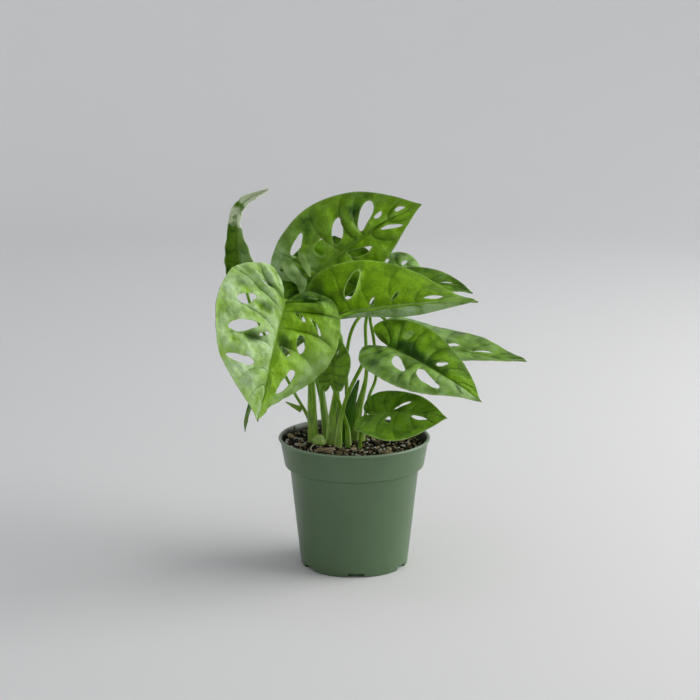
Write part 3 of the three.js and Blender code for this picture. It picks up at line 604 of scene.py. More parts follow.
def bent_blade(leaf, x, y):
    """The flat leaf in space: each half leaves the midrib at its fold and curls evenly, so that it
    reaches (sin(fold + bend·y) - sin fold) / bend out, and (cos fold - cos(fold + bend·y)) / bend
    up."""
    point, _, left, face = midrib_of(leaf)(x)
    half = (y < 0).astype(int)
    reach = np.abs(y)
    along = np.clip(x / leaf["length"], 0, 1)
    fold_foot = np.array([leaf["fold"][0][0], leaf["fold"][1][0]])[half]
    fold_tip = np.array([leaf["fold"][0][1], leaf["fold"][1][1]])[half]
    fold = np.radians(fold_foot + (fold_tip - fold_foot) * along)
    curl = np.array([value or 0.01 for value in leaf.get("curl", (0, 0))])[half]
    bend = np.radians(curl) / np.array(leaf["width"])[half]
    out = (np.sin(fold + bend * reach) - np.sin(fold)) / bend
    up = (np.cos(fold) - np.cos(fold + bend * reach)) / bend
    return point + left * (np.sign(y) * out)[..., None] + face * up[..., None]


def vein_place(u, across):
    """Where a point's side vein meets the edge. Side veins leave the midrib further on than the
    grid's lines do and bow back towards it."""
    return u - VEIN_BOW * np.sin(np.pi * np.clip(u, 0, 1)) * (1 - across) ** 2


def spread_veins(leaf, side):
    """Side veins, evenly spread along the outline. One that would cross a hole gives way to the
    nearer side of it."""
    veins = np.linspace(0.08, 0.93, SIDE_VEINS)
    for half, place, out, half_width, _, lean in leaf["holes"]:
        if half == side:
            middle = vein_place(place, out)
            clear = half_width + 0.5 * abs(lean) + 0.01
            near = np.abs(veins - middle) < clear
            veins = np.where(near, middle + np.where(veins < middle, -clear, clear), veins)
    return np.sort(veins)


def leaf_relief(leaf, u, w, stretch):
    """How far each point lies between two side veins, as half a sine wave drawn out to a steeper
    start, and how near it is to a vein."""
    across = np.abs(w)
    place = vein_place(u, across)
    puffed = np.zeros(u.shape)
    vein = np.zeros(u.shape)
    for side in (1, -1):
        veins = spread_veins(leaf, side)
        nearest = np.abs(place[..., None] - veins).min(-1) * stretch
        between = np.interp(place, veins, np.arange(len(veins)))
        hump = np.sin(np.pi * (between % 1)) ** 0.8 * (place > veins[0]) * (place < veins[-1])
        line = np.exp(-((nearest / VEIN_WIDTH) ** 2)) * blend((1.02 - across) / 0.2) * (stretch > 20)
        mine = w >= 0 if side == 1 else w < 0
        puffed = np.where(mine, hump, puffed)
        vein = np.where(mine, line, vein)
    fall = blend(across / 0.2) * blend((1.05 - across) / 0.4)
    return puffed * fall, vein


def cut_away(values, faces, field):
    """The part of a sheet where the field is above zero. Faces that its edge crosses are cut
    there, and the values at the new points lie between those of the old ones."""
    corners = np.stack([faces, np.roll(faces, -1, axis=1)], -1)
    crossed, index = np.unique(np.sort(corners.reshape(-1, 2), axis=1), axis=0, return_inverse=True)
    a, b = crossed.T
    step = field[a] - field[b]
    share = np.clip(field[a] / np.where(step == 0, 1, step), 0, 1)[:, None]
    middles = index.reshape(-1, 3) + len(values)
    values = np.vstack([values, values[a] * (1 - share) + values[b] * share])
    gone = field[faces] <= 0
    number = gone.sum(1)

    def started(rows, corner):
        """The corners and side middles of some faces, read from a corner on."""
        order = (corner[:, None] + np.arange(3)) % 3
        kept = np.take_along_axis(faces[rows], order, 1)
        between = np.take_along_axis(middles[rows], order, 1)
        return (*kept.T, *between.T)

    one, two = number == 1, number == 2
    _, b, c, ab, _, ca = started(one, gone[one].argmax(1))
    d, _, _, de, _, fd = started(two, (~gone[two]).argmax(1))
    cut = [np.stack(t, -1) for t in ((ab, b, c), (ab, c, ca), (d, de, fd))]
    return values, np.vstack([faces[number == 0], *cut])


def closed_shell(middle, normals, faces, upper, lower):
    """Two layers over and under a sheet of triangles, with a wall along its open edges."""
    count = len(middle)
    points = np.vstack([middle + normals * upper[:, None], middle + normals * lower[:, None]])
    edges = np.vstack([faces[:, [0, 1]], faces[:, [1, 2]], faces[:, [2, 0]]])
    forward = edges[:, 0] * count + edges[:, 1]
    backward = edges[:, 1] * count + edges[:, 0]
    a, b = edges[~np.isin(forward, backward)].T
    wall = np.vstack([np.stack([a, a + count, b + count], -1), np.stack([a, b + count, b], -1)])
    return points, np.vstack([faces, faces[:, ::-1] + count, wall])


def normals_of(points, faces):
    """The mean direction of the faces round each point, larger faces counting more."""
    a, b, c = (points[faces[:, k]] for k in range(3))
    upright = np.cross(b - a, c - a)
    total = np.zeros(points.shape)
    for k in range(3):
        np.add.at(total, faces[:, k], upright)
    return unit(total)


def near_holes(leaf, u, w, stretch, width, rng):
    """How far each point lies outside the nearest hole, in millimetres, and how far the holes'
    edges lift or sink it. A hole is an oval whose edge waves twice and three times round it."""
    nearest = np.full(u.shape, FAR_AWAY)
    dip = np.zeros(u.shape)
    for number, (half, place, out, half_width, half_length, lean) in enumerate(leaf["holes"]):
        s = (np.abs(w) - out) / half_length
        c = (u - place - lean * s) / half_width
        angle = np.arctan2(s, c)
        phase = rng.uniform(0, 2 * np.pi, 2)
        edge = 1 + 0.13 * np.sin(2 * angle + phase[0]) + 0.1 * np.sin(3 * angle + phase[1])
        reach = np.hypot(c, s) / edge
        mine = (np.sign(w) == half) & (reach < 4)
        size = math.sqrt(half_width * stretch[mine].mean() * half_length * width[mine].mean())
        away = np.where(mine, (reach - 1) * size, FAR_AWAY)
        lip = leaf.get("lips", {}).get(number, -rng.uniform(0.3, 1.0))
        dip += lip * np.exp(-np.clip(away, 0, FAR_AWAY) / LIP_WIDTH)
        nearest = np.minimum(nearest, away)
    return nearest, dip


def joined(x, y, faces):
    """The points that stay, one for each place, and the faces on them. Faces that have shrunk to a
    line go."""
    places = np.round(np.stack([x, y], -1), 4)
    _, first, index = np.unique(places, axis=0, return_index=True, return_inverse=True)
    faces = index.ravel()[faces]
    whole = (faces != np.roll(faces, -1, axis=1)).all(1)
    used, faces = np.unique(faces[whole], return_inverse=True)
    return first[used], faces.reshape(-1, 3)


def leaf_patches(leaf, u, w):
    """Painted sheen, painted shade and height from the leaf's own patches, each the bell e^-(along² +
    across²).
    """
    sheen_patch, shade, height = np.zeros((3, len(u)))
    for half, place, out, half_width, half_length, strength, lift in leaf.get("patches", ()):
        spot = ((u - place) / half_width) ** 2 + ((np.abs(w) - out) / half_length) ** 2
        spot = np.exp(-spot) * (np.sign(w) == half)
        sheen_patch += spot * max(strength, 0)
        shade += spot * max(-strength, 0)
        height += spot * lift
    return sheen_patch, shade, height


def leaf_blade(name, leaf, material, slot):
    """A leaf blade as one closed shell. A grid over the flat leaf, with its lobes' inner corners
    rounded off, loses what lies inside its holes. It is bent into space, raised by its relief and
    given its thickness. Points that fall together at the midrib's foot and the tip are joined."""
    rng = np.random.default_rng([SEED, len(name), leaf["length"], leaf["width"][0]])
    rows = int(60 + leaf["length"] * 1.5)
    columns = 2 * int(8 + max(leaf["width"])) + 1
    u, w = np.meshgrid(np.linspace(0, 1, rows), np.linspace(-1, 1, columns), indexing="ij")
    w = w * (1 - 0.3 * np.clip(1 - u / 0.09, 0, 1) ** 2)
    x, y = flat_blade(leaf, u, w)
    stretch = np.hypot(np.gradient(x, axis=0), np.gradient(y, axis=0)) * (rows - 1)
    width = np.where(w > 0, *leaf["width"])
    u, w, stretch, width = (array.ravel() for array in (u, w, stretch, width))
    nearest, dip = near_holes(leaf, u, w, stretch, width, rng)
    sheet = np.stack([u, w, stretch, width, nearest, dip], -1)
    sheet, faces = cut_away(sheet, grid_triangles(rows, columns)[:, ::-1], nearest)
    x, y = flat_blade(leaf, sheet[:, 0], sheet[:, 1])
    stays, faces = joined(x, y, faces)
    x, y = x[stays], y[stays]
    u, w, stretch, width, nearest, dip = sheet[stays].T

    puffed, vein = leaf_relief(leaf, u, w, stretch)
    from_edge = np.minimum((1 - np.abs(w)) * width, np.maximum(nearest, 0))
    rim = np.exp(-((from_edge / RIM_WIDTH) ** 2))
    share = np.clip(x / leaf["length"], 0, 1)
    rib = np.exp(-((y / (0.75 - 0.4 * share)) ** 2)) * (x > -1) * blend((1 - share) / 0.12)
    crease = np.exp(-np.abs(y) / CREASE_WIDTH) * (x > -1)
    table = rng.uniform(-1, 1, (64, 64))
    wrinkle = lumps(w * 3.3 + 9, vein_place(u, np.abs(w)) * 30, 1, table)
    wrinkle = wrinkle + 0.7 * lumps(x + 40, y + 40, 4.5, table)
    wrinkle = wrinkle + 0.3 * lumps(x + 80, y + 80, 2.2, table)
    edge_wave = np.sin(2 * np.pi * (leaf.get("waves", 3.1) * u + rng.uniform()))
    waves = leaf["wave"] * edge_wave * np.abs(w) ** 3 * blend((1 - u) / 0.1)
    swell = (puffed + 0.3 * wrinkle * blend(np.abs(w) / 0.2)) * blend((1 - share) / 0.34)
    sheen_patch, shade, lift = leaf_patches(leaf, u, w)
    # lit is 1 less the painted shade of the patches; it darkens only the colour values, not the relief.
    lit = 1 - np.clip(shade, 0, 1)
    raised = leaf["puff"] * swell + dip + waves + lift - VEIN_DEPTH * vein - CREASE_DEPTH * crease

    middle = bent_blade(leaf, x, y)
    middle = middle + normals_of(middle, faces) * raised[:, None]
    half_blade = np.full(len(middle), BLADE / 2)
    below = -half_blade - VEIN_RIDGE * vein
    points, faces = closed_shell(middle, normals_of(middle, faces), faces, half_blade, below)

    # Painted light in the colour values: a pale painted sheen on each half and in the sheen patches,
    # painted shade from the shade patches through lit, lighter painted humps from puffed, and a dark
    # painted crease along a creased midrib.
    wrinkled = (1 - 0.4 * vein) * (0.75 + 0.5 * wrinkle)
    painted_sheen = np.where(w > 0, *leaf.get("painted_sheen", (0, 0))) * wrinkled
    # A creased midrib gets painted shade: its crease is darkened in the colour.
    shaded_rib_crease = leaf.get("shaded_rib_crease", False)
    values = {
        "vein": np.maximum(vein, crease * shaded_rib_crease), "rib": rib * (not shaded_rib_crease), "rim": rim,
        "puffed": (1 - (1 - puffed) * min(leaf["puff"] / 1.8, 1)) * lit,
        "cream": leaf_cream(leaf, x) if slot == "young_blade" else np.zeros(len(x)),
        "painted_sheen": np.clip((painted_sheen + sheen_patch) * lit, 0, 1), "tone": leaf["tone"] * lit,
    }
    values = {key: np.tile(array, 2) for key, array in values.items()}
    values["under"] = np.repeat([0.0, 1.0], len(x))
    return make_piece(f"{name}_blade", points, faces, material, [f"leaf_{name}"], values)


def leaf_cream(leaf, x):
    """The young leaf is cream at its knee and towards its tip."""
    share = x / leaf["length"]
    knee = np.exp(-(((share - 0.5) / 0.09) ** 2))
    tip = 1.1 * blend((share - 0.58) / 0.15)
    return np.maximum(knee, tip)


# The stalks

def stalk_path(name, leaf):
    """From the hole in the soil up to the leaf, and on under the midrib towards the tip."""
    foot, points, radius, _ = STALKS[name]
    at = midrib_of(leaf)
    (point,), (ahead,), (left,), (face,) = at(np.zeros(1))
    away = left if leaf.get("stalk_side") == "left" else face
    end = point - away * (BLADE / 2 + 0.2 + radius[1])
    lead = end - ahead * 4 - away * 2.5
    under = np.array([0.1, 0.25, 0.45, 0.65, 0.82]) * leaf["length"]
    rib, _, _, rib_face = at(under)
    rib = rib - rib_face * (0.75 + radius[1] * (1 - under / leaf["length"]) * 0.7)[:, None]
    start = [(*foot, SOIL_SOCKET), (*foot, SOIL_TOP + 2)]
    to_leaf = [*start, *points, tuple(lead), tuple(end)]
    path = smooth_path([*to_leaf, *map(tuple, rib)], 150)
    reach = np.linalg.norm(path - end, axis=1).argmin() / (len(path) - 1)
    return path, reach


def stalk(name, leaf, material):
    """A leaf stalk whose midrib runs on under the blade. Its section is round, and in the sheath
    it opens into a channel between two low wings, which fade towards the leaf."""
    _, _, radius, sheath = STALKS[name]
    path, reach = stalk_path(name, leaf)

    def section(along, angle):
        up = np.clip(along / reach, 0, 1)
        size = radius[1] + (radius[0] - radius[1]) * (1 - blend(up / sheath))
        past = np.clip((along - reach) / (1 - reach), 0, 1)
        knee = 0.22 * np.exp(-(((up - 0.97) / 0.035) ** 2)) * (past == 0)
        size = size * (1 - 0.8 * past) * (1 + knee)
        turn = np.abs((angle + np.pi) % (2 * np.pi) - np.pi)
        open_share = 1 - blend((up - sheath * 0.8) / 0.12)
        channel = -0.34 * np.exp(-((turn / 0.42) ** 2))
        channel = channel + 0.16 * np.exp(-(((turn - WING_ANGLE) / 0.25) ** 2))
        shallow = -0.1 * np.exp(-((turn / 0.5) ** 2)) * (1 - past)
        return size * (1 + channel * open_share + shallow)

    outward = path[-1] - path[0]
    guide = np.array([-outward[0], -outward[1], 2 * math.hypot(outward[0], outward[1])])
    points, faces, uv, share = carried(path, unit(guide), section, 28)
    turn = np.abs((uv[:, 0] + 0.5) % 1 - 0.5) * 2 * np.pi
    # The pale value: the stalk is paler towards the soil, and the edges of the sheath's wings are
    # painted pale as a highlight.
    wings = np.exp(-(((turn - WING_ANGLE) / 0.16) ** 2))
    wings = wings * (1 - blend((share / reach - sheath * 0.8) / 0.12))
    values = {"pale": np.exp(-((share / (0.25 * reach)) ** 2)) * 0.7 + 0.9 * wings}
    nodes = [f"stalk_{name}"]
    return make_piece(f"{name}_stalk", points, faces, material, nodes, values, uv, 60)


# Torn and folded parts of the top leaf: the line each follows, the way it faces, half its width,
# its painted sheen and its tone.
FLAPS = {
    "top_torn_lobe": dict(
        line=[(-47, 43, 210), (-41, 37, 200), (-36.6, 34, 191.5), (-37.3, 33, 185)],
        facing=(0.6, -1, 0.25), half_width=7.8, painted_sheen=0.6, tone=0.7),
    "top_torn_strip": dict(
        line=[(-36.5, 43.5, 216), (-34, 40, 206), (-31, 36, 196)],
        facing=(0.6, -1, 0.25), half_width=4.3, painted_sheen=0.45, tone=0.7),
    "top_lower_lobe": dict(
        line=[(-47, 42, 202), (-44, 37, 190), (-41, 30, 178), (-39, 25, 166)],
        facing=(0.35, -1, 0.2), half_width=11.5, painted_sheen=0.0, tone=0.4),
}

# The number of places along a flap, and the way its edges bend back.
FLAP_STEPS = 60
FLAP_BACK = np.array([-0.3, 0.9, 0])


def flap(name, line, facing, half_width, painted_sheen, tone, material):
    """A thin strip of blade, widest in its first half and pointed at its end. Its section is the
    flat oval 1 / sqrt((cos / half thickness)² + (sin / half width)²), and its edges bend back with
    the square of their distance."""
    def section(along, angle):
        wide = half_width * (0.12 + 0.88 * np.sin(np.pi * np.clip(along, 0, 1) ** 0.62) ** 0.8)
        return 1 / np.sqrt((np.cos(angle) / 0.35) ** 2 + (np.sin(angle) / wide) ** 2)

    path = smooth_path(line, FLAP_STEPS)
    made, faces, uv, share = carried(path, unit(np.array(facing, float)), section, 48)
    nearest = path[np.round(share * (FLAP_STEPS - 1)).astype(int)]
    across = np.linalg.norm(made - nearest, axis=1) / half_width
    made = made + FLAP_BACK * (0.42 * half_width * across**2)[:, None]
    # A pale painted sheen on the flap, a little uneven along it.
    values = {"painted_sheen": painted_sheen * (1 - 0.25 * np.sin(9 * share) ** 2), "tone": np.full(len(made), tone),
              "puffed": np.full(len(made), 0.6), "rim": np.exp(-(((1 - across) / 0.15) ** 2))}
    return make_piece(f"{name}_flap", made, faces, material, (), values, uv, 60)


# The pot, the soil and what lies on it

def pot_profile():
    """Radius and height from the middle of the underside, up the outside, over the lip, and down
    the inside to the middle of the floor."""
    p = POT
    height, lip, foot, wall = p["height"], p["lip_radius"], p["collar_foot"], p["wall"]
    deep = p["base"] - p["notch_depth"]
    return np.array([
        (0, 0), (deep, 0), (deep + 0.01, 0), (p["base"] - 1.2, 0), (p["base"] - 0.4, 0.25),
        (p["base"], p["chamfer"]), (p["base"] + 0.38, 4.2), (p["base"] + 0.5, 4.5),
        (p["body_top"], foot - 2.6), (p["body_top"] + 0.6, foot - 1.8),
        (p["collar_bottom"] - 1.0, foot - 0.3), (p["collar_bottom"] - 0.25, foot + 0.25),
        (p["collar_bottom"], foot + 1.1), (p["collar_top"], height - 2.6),
        (p["collar_top"] + 0.3, height - 2.1), (lip - 0.25, height - 1.75), (lip, height - 1.3),
        (lip, height - 0.6), (lip - 0.3, height - 0.12), (lip - 0.8, height),
        (lip - p["bead"], height - 0.2), (lip - p["bead"] - 0.5, height - 0.9),
        (p["collar_top"] - wall, height - 3), (p["collar_bottom"] - wall, foot + 2),
        (p["body_top"] - wall, foot - 1), (p["base"] - wall, p["floor"]), (0, p["floor"]),
    ], float)


def pot_piece(material):
    """The pot: its profile turned round the middle, with its bottom edge raised in the notches."""
    p = POT
    radius, level = pot_profile().T
    angle = np.linspace(0, 2 * np.pi, 288, endpoint=False)
    spacing = 2 * np.pi / p["notches"]
    from_notch = (angle - np.radians(p["first_notch"]) + spacing / 2) % spacing - spacing / 2
    in_notch = np.abs(from_notch) * p["base"] < p["notch_width"] / 2
    past_edge = (np.arange(len(level)) >= 2)[:, None]
    heights = np.maximum(level[:, None], np.where(in_notch & past_edge, p["notch_height"], 0))
    rings = np.stack([radius[:, None] * np.cos(angle), radius[:, None] * np.sin(angle), heights], -1)
    points, faces = closed_by_middles(rings[1:-1], rings[0, 0], rings[-1, 0])
    radii = np.hypot(points[:, 0], points[:, 1])
    below_lip = points[:, 2] - p["height"]
    # A painted highlight along the outer edge just under the top of the lip.
    lip_highlight = np.exp(-(((below_lip + 0.3) / 0.9) ** 2)) * (radii > p["collar_top"] - 1)
    ring = np.r_[np.repeat(np.arange(1, len(level) - 1), len(angle)), 0, 0]
    dusty = ((ring > level.argmax()) & (below_lip < -0.5)).astype(float)
    values = {"lip_highlight": lip_highlight, "dusty": dusty}
    return make_piece("nursery_pot", points, faces, material, ["pot"], values, sharp=35)


# The soil's random lumps and the height of its underside, how far from the middle crumbs lie and
# how far from a chosen spot, and how high the middle of a chip lies above the soil's level.
SOIL_TABLE = np.random.default_rng(SEED).uniform(-1, 1, (64, 64))
SOIL_FOOT = 3.8
CRUMB_REACH = 48.2
SPOT_SPREAD = 2.2
CHIP_LIFT = 1.3


def soil_height(x, y):
    """The surface of the potting mix: the solid's low lumps, with crumbs of 5, 2 and 1 mm on them,
    falling towards the wall, and banked up against it at the back left."""
    low = 0.7 * np.sin(x / 5 + 1) * np.cos(y / 4.3) + 0.4 * np.sin((x + y) / 2.9 + 2)
    crumbs = 0.7 * lumps(x, y, 5, SOIL_TABLE) + 0.45 * lumps(x + 31, y, 2.1, SOIL_TABLE)
    fine = 0.3 * lumps(x, y + 17, 0.95, SOIL_TABLE)
    out = np.hypot(x, y)
    fall = SOIL_EDGE_DROP * (out / POT["collar_top"]) ** 4
    back_left = (y - x) / np.maximum(out, 1) + 0.2
    bank = BANK_HEIGHT * blend((out - BANK_START) / BANK_WIDTH) * blend(back_left)
    return SOIL_TOP + low + crumbs + fine + bank - fall


def soil_piece(material):
    """The potting mix: a disc of rings whose height is that of the surface, closed by its side
    and its flat bottom inside the pot."""
    angle = np.linspace(0, 2 * np.pi, 360, endpoint=False)
    outer = POT["collar_top"] - POT["wall"] - 0.7
    radius = np.linspace(0.8, outer, 62)[:, None]
    x, y = radius * np.cos(angle), radius * np.sin(angle)
    top = np.stack([x, y, soil_height(x, y)], -1)
    side = np.array([(POT["collar_bottom"], 73.4), (POT["body_top"], 70.4), (POT["base"], SOIL_FOOT)])
    radius, level = side[:, :1] - 1.7, side[:, 1:]
    low = np.stack([radius * np.cos(angle), radius * np.sin(angle), level + 0 * angle], -1)
    middle = (0, 0, soil_height(0.0, 0.0))
    points, faces = closed_by_middles(np.vstack([top, low]), middle, (0, 0, SOIL_FOOT))
    shade = 0.25 + 0.25 * lumps(points[:, 0], points[:, 1], 1.3, SOIL_TABLE[::-1])
    # The rings go down, so the triangles are turned over.
    return make_piece("potting_mix", points, faces[:, ::-1], material, ["potting_soil"],
                      {"shade": shade}, sharp=180)


def ball(cuts):
    """A ball of triangles: a twenty-faced solid, each face cut in four as often as asked."""
    golden = (1 + 5**0.5) / 2
    points = unit(np.array([
        (-1, golden, 0), (1, golden, 0), (-1, -golden, 0), (1, -golden, 0),
        (0, -1, golden), (0, 1, golden), (0, -1, -golden), (0, 1, -golden),
        (golden, 0, -1), (golden, 0, 1), (-golden, 0, -1), (-golden, 0, 1),
    ], float))
    faces = np.array([
        (0, 11, 5), (0, 5, 1), (0, 1, 7), (0, 7, 10), (0, 10, 11), (1, 5, 9), (5, 11, 4),
        (11, 10, 2), (10, 7, 6), (7, 1, 8), (3, 9, 4), (3, 4, 2), (3, 2, 6), (3, 6, 8),
        (3, 8, 9), (4, 9, 5), (2, 4, 11), (6, 2, 10), (8, 6, 7), (9, 8, 1),
    ])
    for _ in range(cuts):
        pairs = np.sort(np.vstack([faces[:, [0, 1]], faces[:, [1, 2]], faces[:, [2, 0]]]), axis=1)
        single, index = np.unique(pairs, axis=0, return_inverse=True)
        ab, bc, ca = index.ravel().reshape(3, -1) + len(points)
        a, b, c = faces.T
        points = np.vstack([points, unit(points[single].mean(1))])
        smaller = ((a, ab, ca), (ab, b, bc), (ca, bc, c), (ab, bc, ca))
        faces = np.vstack([np.stack(corners, -1) for corners in smaller])
    return points, faces


def turned(count, rng, tilt):
    """Random turns: any way round the upright, then leaned by a random angle whose spread is the
    tilt, in radians, about a level line, and turned again."""
    spin = rng.uniform(0, 2 * np.pi, count)
    lean = rng.normal(0, tilt, count)
    way = rng.uniform(0, np.pi, count)
    zero, one = np.zeros(count), np.ones(count)

    def about_z(angle):
        cos, sin = np.cos(angle), np.sin(angle)
        return np.stack([cos, -sin, zero, sin, cos, zero, zero, zero, one], -1).reshape(-1, 3, 3)

    cos, sin = np.cos(lean), np.sin(lean)
    tip = np.stack([one, zero, zero, zero, cos, -sin, zero, sin, cos], -1).reshape(-1, 3, 3)
    return about_z(way) @ tip @ about_z(spin)


def crumbs(name, material, slot, count, sizes, shape, seed, cuts=0, rough=0.25, sunk=0.15,
           spots=None, tilt=0.35):
    """Many small lumps lying on the soil, as one mesh: each is a ball of few faces whose points are
    drawn in and out, stretched to its length, width and height, and turned. Its middle lies
    (1 - sunk) / 2 of its half height above the soil."""
    rng = np.random.default_rng([SEED, seed])
    base, faces = ball(cuts)
    radius = CRUMB_REACH * np.sqrt(rng.uniform(0, 1, count))
    angle = rng.uniform(0, 2 * np.pi, count)
    x, y = radius * np.cos(angle), radius * np.sin(angle)
    if spots is not None:
        chosen = rng.integers(0, len(spots), count)
        x, y = (np.array(spots)[chosen] + rng.normal(0, SPOT_SPREAD, (count, 2))).T
    size = rng.uniform(*sizes, count) * rng.uniform(0.6, 1, count)
    scale = size[:, None] * np.array(shape) * rng.uniform(0.75, 1.25, (count, 3)) / 2
    knobs = base[None] * (1 + rough * rng.uniform(-1, 1, (count, len(base), 1)))
    placed = np.einsum("nij,nkj->nki", turned(count, rng, tilt), knobs * scale[:, None])
    centre = np.stack([x, y, soil_height(x, y) + scale[:, 2] * (1 - sunk) * 0.5], -1)
    points = (placed + centre[:, None]).reshape(-1, 3)
    faces = (faces[None] + np.arange(count)[:, None, None] * len(base)).reshape(-1, 3)
    values = {"shade": np.repeat(rng.uniform(0, 1, count) ** 1.5, len(base))}
    return make_piece(name, points, faces, material, (), values, sharp=40 if cuts else 25)


# Chips of bark: the place on the soil, the length, width and height, and the turn in degrees.
CHIPS = [
    ((-20, -17), (16, 7, 3), 15), ((22, -24), (9, 6, 3), -30), ((33, 12), (10, 6, 3), 70),
    ((-38, -4), (8, 5, 3), 100),
]


def bark_chip(number, material):
    """A flake of bark: a ball pressed flat, with a knobbly edge and broken steps across its top."""
    (x, y), size, turn = CHIPS[number]
    rng = np.random.default_rng([SEED, 40 + number])
    table = rng.uniform(-1, 1, (64, 64))
    points, faces = ball(4)
    flat = points * np.array(size) / 2
    steps = np.round(2.5 * lumps(flat[:, 0] + 9, flat[:, 1] * 2.2, 2.4, table)) / 2.5
    edge = 1 + 0.13 * lumps(flat[:, 0] * 1.3, flat[:, 1] * 1.3 + 5, 2.0, table)
    flat[:, :2] *= edge[:, None]
    grain = 0.25 * lumps(flat[:, 0], flat[:, 1] * 3, 0.9, table)
    flat[:, 2] = flat[:, 2] * (0.85 + 0.3 * steps) + grain
    cos, sin = math.cos(math.radians(turn)), math.sin(math.radians(turn))
    spun = np.stack([flat[:, 0] * cos - flat[:, 1] * sin, flat[:, 0] * sin + flat[:, 1] * cos,
                     flat[:, 2]], -1)
    spun += [x, y, SOIL_TOP + CHIP_LIFT]
    name = f"bark_chip_{number + 1}"
    values = {"shade": 0.45 + 0.35 * steps}
    return make_piece(f"{name}_flake", spun, faces, material, [name], values, sharp=35)


# The way that the front of a thin bar faces.
BAR_FRONT = np.array([0, -1, 0.2])


def thin_bar(name, line, section, material, replaces=(), steps=60, sides=16, tint=("pale", 0, 0)):
    """A bar along a smooth path, such as a root or the rolled sheath. Its tint is an attribute, with
    its values at the foot and at the tip."""
    path = smooth_path(line, steps)
    points, faces, uv, share = carried(path, unit(BAR_FRONT), section, sides)
    tinted, at_foot, at_tip = tint
    values = {tinted: at_foot + (at_tip - at_foot) * share}
    return make_piece(name, points, faces, material, replaces, values, uv, 60)


def sheath_section(along, angle):
    """The rolled sheath: a half wave along it, and a spiral seam where its edge overlaps."""
    size = 0.3 + 4.0 * np.sin(np.pi * (0.28 + 0.7 * along)) ** 0.8
    return size * (0.9 + 0.16 * angle / (2 * np.pi))


def bract_section(along, angle):
    """The bract: widest at its foot, pointed, and thinner from front to back."""
    return (0.12 + 2.1 * (1 - along) ** 0.7) * (1 - 0.45 * np.cos(angle) ** 2)


def stem_section(along, angle):
    """The old stem's end: rings along it, a rounded top, and three low ridges that wind up it."""
    size = 4.6 * (1 - 0.14 * np.cos(4.5 * np.pi * along))
    top = np.sqrt(np.clip(1 - (along - 0.02) ** 8, 0.02, 1))
    return size * top * (1 + 0.1 * np.sin(3 * angle + 2 * along))


def root_section(along, angle):
    """The root: one thickness all along."""
    return 0.5 + 0 * (along + angle)


def fibre_section(along, angle):
    """The fibre: thin, with a knob near its end."""
    return 0.35 + 0.5 * np.exp(-(((along - 0.9) / 0.07) ** 2)) + 0 * angle


# The stage, the lights and the camera

def sweep():
    """The pale sweep that the pot stands on: flat in the middle, turned up all round it by a
    quarter circle into a high wall."""
    flat, bow, top = 1500, 900, 3200
    rise = np.radians(np.linspace(0, 90, 24))
    radius = np.r_[1, flat * 0.5, flat, flat + bow * np.sin(rise[1:]), flat + bow]
    level = np.r_[0, 0, 0, bow * (1 - np.cos(rise[1:])), top]
    angle = np.linspace(0, 2 * np.pi, 128, endpoint=False)
    radius, level = radius[:, None], level[:, None]
    points = np.stack([radius * np.cos(angle), radius * np.sin(angle), level + 0 * angle], -1)
    faces = grid_triangles(len(radius), len(angle), wrap=True)[:, ::-1]
    faces = np.vstack([faces, [[0, k, k + 1] for k in range(1, len(angle) - 1)]])
    mesh = bpy.data.meshes.new("sweep")
    mesh.from_pydata((points.reshape(-1, 3) * MM).tolist(), [], faces.tolist())
    mesh.polygons.foreach_set("use_smooth", np.ones(len(faces), bool))
    material, _, shader = new_material("matt_paper_sweep")
    shader.inputs["Base Color"].default_value = linear("E4E4E4")
    shader.inputs["Roughness"].default_value = 0.9
    mesh.materials.append(material)
    floor = bpy.data.objects.new("sweep", mesh)
    bpy.context.scene.collection.objects.link(floor)


def area_light(name, place, aim, size, power, colour):
    """A soft panel of light that the camera doesn't see, turned towards a point."""
    light = bpy.data.lights.new(name, "AREA")
    light.shape = "RECTANGLE"
    light.size, light.size_y = size
    light.energy = power
    light.color = linear(colour)[:3]
    lamp = bpy.data.objects.new(name, light)
    lamp.location = Vector(place) * MM
    lamp.rotation_euler = (Vector(aim) - Vector(place)).to_track_quat("-Z", "Y").to_euler()
    lamp.visible_camera = False
    bpy.context.scene.collection.objects.link(lamp)


def light_scene():
    """Broad daylight from the right, as from a large window, a weaker panel far back on the same
    side, and an even glow from all round that is brighter on the right."""
    area_light("window", (1330, 40, 760), (0, 0, 120), (1.5, 1.25), 21.8, "FFFDFA")
    area_light("far_window", (1100, 1150, 1750), (450, 2100, 450), (1.3, 1.3), 5, "F8FAFF")
    world = bpy.data.worlds.new("daylight_glow")
    world.use_nodes = True
    tree = world.node_tree
    direction = node(tree, "ShaderNodeTexCoord").outputs["Generated"]
    sideways = node(tree, "ShaderNodeSeparateXYZ", {0: direction}).outputs[0]
    background = tree.nodes["Background"]
    background.inputs["Color"].default_value = linear("F3F7FC")
    tree.links.new(ranged(tree, sideways, -1.0, 1.0, 0.03, 0.97), background.inputs["Strength"])
    bpy.context.scene.world = world
    bpy.context.scene.view_settings.view_transform = "Standard"


def place_camera():
    """The photo's camera, which looks along +Y and down by its pitch."""
    camera = bpy.data.cameras.new("camera")
    camera.lens = CAMERA_LENS
    camera.sensor_width = FILM_WIDTH
    camera.clip_end = CAMERA_REACH
    holder = bpy.data.objects.new("camera", camera)
    holder.location = Vector(CAMERA_PLACE) * MM
    holder.rotation_euler = (math.radians(90 - CAMERA_PITCH), 0, 0)
    bpy.context.scene.collection.objects.link(holder)
    bpy.context.scene.camera = holder


place_camera()
sweep()
light_scene()

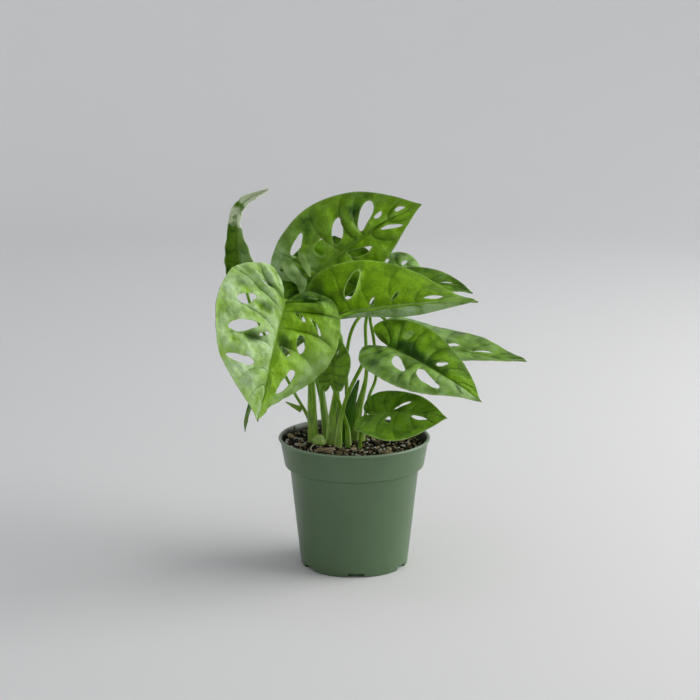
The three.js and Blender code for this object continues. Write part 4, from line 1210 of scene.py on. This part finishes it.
grown_leaf = leaf_material("living_leaf_waxy", "193F01", "458003", "86B510", "7B9A55")
young_leaf = leaf_material("young_leaf_waxy", "2A5A06", "5D8E1E", "86AC35", "9DBB74", "DFECC8")
waxy_stalk = stalk_material("leaf_stalk_waxy", "96C82C", "CBE28C", "4A7C10")
dark_sheath = stalk_material("leaf_sheath_dark", "457F12", "74A634", "1F4A04")
pale_stub = stalk_material("cut_stem_pale", "A0CC48", "CDE29A", "6E9C30")
peat = crumb_material("moist_peat", "0A0805", "30261A", 1.2)
bark = crumb_material("composted_bark", "4A3B26", "B8A680", 1.0)
dry_bark = crumb_material("dry_bark", "6E5C41", "C4B391", 1.6, grain=0.8)
perlite = crumb_material("expanded_perlite", "A8A89C", "E4E4DA", 0.6, rough=0.9, grain=0.7)
root_skin = stalk_material("root_skin", "CFC9AC", "E2DEC8", "A39B78")
pot_piece(pot_material())

for leaf_name, leaf in LEAVES.items():
    if leaf_name == "young":
        leaf_blade(leaf_name, leaf, young_leaf, "young_blade")
    else:
        leaf_blade(leaf_name, leaf, grown_leaf, "blade")
    stalk(leaf_name, leaf, waxy_stalk)

for flap_name, flap_values in FLAPS.items():
    flap(flap_name, **flap_values, material=grown_leaf)

soil_piece(peat)
crumbs("peat_crumbs", peat, "soil", 1500, (1.4, 3.6), (1, 0.85, 0.7), 1)
crumbs("bark_crumbs", bark, "bark", 680, (1.4, 4.2), (1, 0.7, 0.5), 2, sunk=-0.2)
crumbs("bark_slivers", bark, "bark", 130, (3.0, 7.5), (1, 0.3, 0.22), 3, sunk=-0.3, tilt=0.25)
crumbs("bark_chunks", dry_bark, "bark", 60, (4.0, 8.0), (1, 0.6, 0.35), 6, cuts=1, sunk=-0.1,
       tilt=0.15)
crumbs("perlite_grains", perlite, "soil", 300, (1.0, 3.2), (1, 0.9, 0.8), 4, cuts=1, rough=0.18,
       sunk=-0.3)
crumbs("perlite_cluster", perlite, "soil", 26, (1.8, 3.8), (1, 0.9, 0.8), 5, cuts=1, rough=0.2,
       sunk=-0.4, spots=[(1, -38), (3, -36)])
for chip in range(len(CHIPS)):
    bark_chip(chip, dry_bark)

thin_bar("rolled_leaf_sheath",
         [(-6.5, 8, SOIL_SOCKET), (-6.5, 8, 86), (-4.5, 8, 100), (-1.5, 7, 114), (3, 6, 129)],
         sheath_section, dark_sheath, ["rolled_sheath"], sides=36)
thin_bar("dry_bract", [(-37, 11.8, 106.6), (-42, 10, 109.5), (-48, 8.6, 113)],
         bract_section, waxy_stalk, ["bract"], steps=24, tint=("pale", 0.3, 0.3))
thin_bar("old_stem_end", [(-24.5, 1.5, SOIL_SOCKET), (-24.5, 1.0, 84), (-23.9, 0, 91.2)],
         stem_section, pale_stub, ["cutting_stub"], steps=40, sides=40, tint=("pale", 0, 0.6))
thin_bar("white_root", [(-27, -3, 85.5), (-28, -8, 86.5), (-30, -13, 85.6), (-29, -18, 84.4)],
         root_section, root_skin, steps=40, sides=10, tint=("pale", 0.5, 0.5))
thin_bar("upright_fibre", [(-41.5, 10, 84), (-42.4, 10, 89), (-41.6, 9.5, 95)],
         fibre_section, bark, steps=40, sides=10, tint=("shade", 0, 0))
